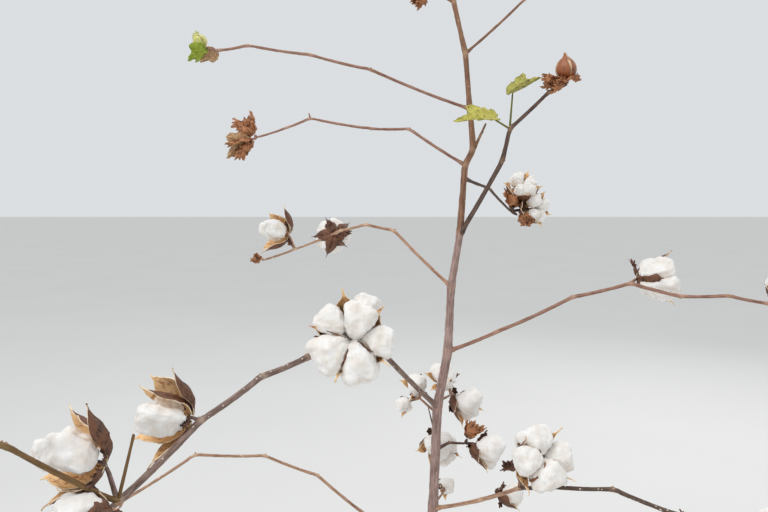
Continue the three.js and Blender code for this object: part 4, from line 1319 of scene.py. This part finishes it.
def shut_model(name, skin):
    """One valve of an unopened fruit 1 wide, with that skin outside."""
    piece = blade(name, SHUT_VALVE, 6, 1)
    piece.data.materials[1] = skin
    add_wall(piece, SHUT_WALL)
    return piece


shut_valves = {"brown": shut_model("coppery_valve", copper_skin),
               "green": shut_model("green_valve", green_skin)}
# The cream seed cotton inside, which shows where the valves have split apart
bpy.ops.object.select_all(action="DESELECT")
bpy.ops.mesh.primitive_uv_sphere_add(segments=16, ring_count=10, radius=0.43, location=(0, 0, 0.48))
seed_core = bpy.context.object
seed_core.name = "seed_core"
bpy.ops.object.transform_apply(location=True, rotation=True, scale=True)
record_grain(seed_core, [], TYPICAL_BUD)
seed_core.data.materials.append(burr_edge)
bpy.ops.object.shade_smooth()
shut_parts = []
for one in limbs:
    for item in one["carries"]:
        if item["kind"] != "pod":
            continue
        frame_of_pod = item["frame"] @ Matrix.Scale(item["size"], 4)
        shut_parts.append(place(seed_core, frame_of_pod))
        for i in range(VALVES_PER_FRUIT):
            turn = Matrix.Rotation(i / VALVES_PER_FRUIT * 2 * math.pi, 4, "Z")
            shut_parts.append(place(shut_valves[item["look"]], frame_of_pod @ turn))
for model in (*shut_valves.values(), seed_core):
    bpy.data.objects.remove(model)
shut_fruit = join("shut_fruit", shut_parts)
relief(shut_fruit, 0.5, 4, "shut_fruit_wrinkles")
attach(shut_fruit, "root")


# Leaves
# The last leaves are small and three-lobed, yellow-green with brown spots, and already wilting and curled.
# Each is a thin blade that droops from the end of its stalk, folded a little along its middle vein.
# [angle from the leaf's tip, distance of the outline from its stalk's end in parts of its length]
LEAF_EDGE = [
    [0, 1], [8, 0.86], [21, 0.56], [32, 0.68], [42, 0.82], [52, 0.72], [74, 0.44], [92, 0.40], [110, 0.32],
    [135, 0.22], [155, 0.20], [180, 0.08],
]
LEAF_POINTS = 40
TYPICAL_LEAF = 37 * MM
LEAF_WALL = 0.3 * MM
# In how many steps a leaf is bent
LEAF_STEPS = 8
# How a leaf hangs: [how far it droops at its tip, how far its sides rise], in parts of its length
LEAF_HANG = {"yellow": (0.18, 0.16), "folded": (0.02, 0.28), "green": (0.25, 0.2), "dry": (0.3, 0.35)}


def leaf_skin(name, dark, light, spot_colour, spot_share):
    """A wilting leaf: two shades of one colour, brown spots, and puckers between the veins."""
    material, tree, shader = new_material(name)
    grain = add(tree, "ShaderNodeAttribute", {"attribute_name": "grain"}).outputs["Vector"]
    # Clouds of green 6 mm wide
    cloud = add(tree, "ShaderNodeTexNoise", values={"Scale": 1 / (6 * MM), "Detail": 4},
                links={"Vector": grain})
    tone = add(tree, "ShaderNodeValToRGB", links={"Fac": cloud.outputs["Fac"]})
    tone.color_ramp.elements[0].position = 0.3
    tone.color_ramp.elements[0].color = linear(dark)
    tone.color_ramp.elements[1].position = 0.7
    tone.color_ramp.elements[1].color = linear(light)
    # Brown spots about 5 mm wide
    spots = add(tree, "ShaderNodeTexNoise", values={"Scale": 1 / (5 * MM), "Detail": 3, "Roughness": 0.65},
                links={"Vector": grain})
    brown = add(tree, "ShaderNodeMapRange", {"interpolation_type": "SMOOTHSTEP"},
                {"From Min": 0.64 - spot_share * 0.25, "From Max": 0.76 - spot_share * 0.25},
                {"Value": spots.outputs["Fac"]})
    colour = add(tree, "ShaderNodeMix", {"data_type": "RGBA"}, {"B": linear(spot_colour)},
                 {"Factor": brown.outputs[0], "A": tone.outputs["Color"]})
    # Puckers 2.4 mm wide between the veins
    pucker = add(tree, "ShaderNodeTexVoronoi", {"feature": "SMOOTH_F1"}, {"Scale": 1 / (2.4 * MM)},
                 {"Vector": grain})
    bump = add(tree, "ShaderNodeBump", {"invert": True}, {"Strength": 0.6, "Distance": 0.6 * MM},
               {"Height": pucker.outputs["Distance"]})
    tree.links.new(colour.outputs["Result"], shader.inputs["Base Color"])
    tree.links.new(bump.outputs["Normal"], shader.inputs["Normal"])
    shader.inputs["Roughness"].default_value = 0.55
    return material


# Limp leaf skin with a dull gloss: yellow-green on the boughs, greener at the tips and tan where dead
LEAF_SKINS = {
    "yellow": leaf_skin("yellowing_leaf", "#9c9838", "#cbc460", "#7d5a2c", 0.3),
    "folded": leaf_skin("spotted_leaf", "#94923c", "#c2bc62", "#6d4c28", 0.36),
    "green": leaf_skin("green_tip_leaf", "#7f961f", "#a9b63c", "#7a5a24", 0.1),
    "dry": leaf_skin("dried_leaf", "#a87a50", "#d3b286", "#7d5a40", 0.3),
}


def leaf_model(look):
    """A leaf 1 long, from its stalk's end at the origin along +X, with its upper face toward +Z."""
    bpy.ops.object.select_all(action="DESELECT")
    bpy.ops.mesh.primitive_circle_add(vertices=LEAF_POINTS, radius=1, fill_type="TRIFAN")
    piece = bpy.context.object
    piece.name = look + "_leaf"
    edge = {v.index: math.degrees(math.atan2(v.co.y, v.co.x))
            for v in piece.data.vertices if v.co.length > 0.5}
    for corner, angle in edge.items():
        reach = along(LEAF_EDGE, abs(angle))
        shape(piece, lambda v: v.index == corner, (reach, reach, 1))
    bpy.ops.object.mode_set(mode="EDIT")
    bpy.ops.mesh.select_all(action="SELECT")
    bpy.ops.mesh.subdivide(number_cuts=3)
    bpy.ops.object.mode_set(mode="OBJECT")
    record_grain(piece, [], TYPICAL_LEAF)
    piece.data.materials.append(LEAF_SKINS[look])
    droop, fold = LEAF_HANG[look]
    for step in range(1, LEAF_STEPS):
        # The blade droops toward its tip, ever more, and rises from its middle vein to both sides
        dip = -droop * (2 * step - 1) / LEAF_STEPS**2
        shape(piece, lambda v: v.co.x > step / LEAF_STEPS, move=(0, 0, dip))
        shape(piece, lambda v: abs(v.co.y) > step / 14, move=(0, 0, fold / LEAF_STEPS))
    bpy.ops.object.shade_smooth()
    return piece


leaf_models = {look: leaf_model(look) for look in LEAF_SKINS}
leaf_parts = []
for one in limbs:
    for item in one["carries"]:
        if item["kind"] != "leaf":
            continue
        ahead = heading(*item["points"])
        level = Vector((0, 0, 1)).cross(ahead).normalized()
        across = Matrix.Rotation(math.radians(item["roll"]), 3, ahead) @ level
        upward = ahead.cross(across)
        axes = Matrix((ahead, across, upward)).transposed().to_4x4()
        foot = Matrix.Translation(item["base"] * MM)
        scale = Matrix.Scale(item["size"] * MM, 4)
        leaf_parts.append(place(leaf_models[item["look"]], foot @ axes @ scale))
for model in leaf_models.values():
    bpy.data.objects.remove(model)
leaves = join("leaves", leaf_parts)
relief(leaves, 6, 10, "leaf_curl")
relief(leaves, 3, 3.5, "leaf_crumple")
finish(leaves, "SOLIDIFY", thickness=LEAF_WALL, offset=0)
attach(leaves, "root")
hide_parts("leaf_dark_right_upper", "leaf_dark_right_lower")
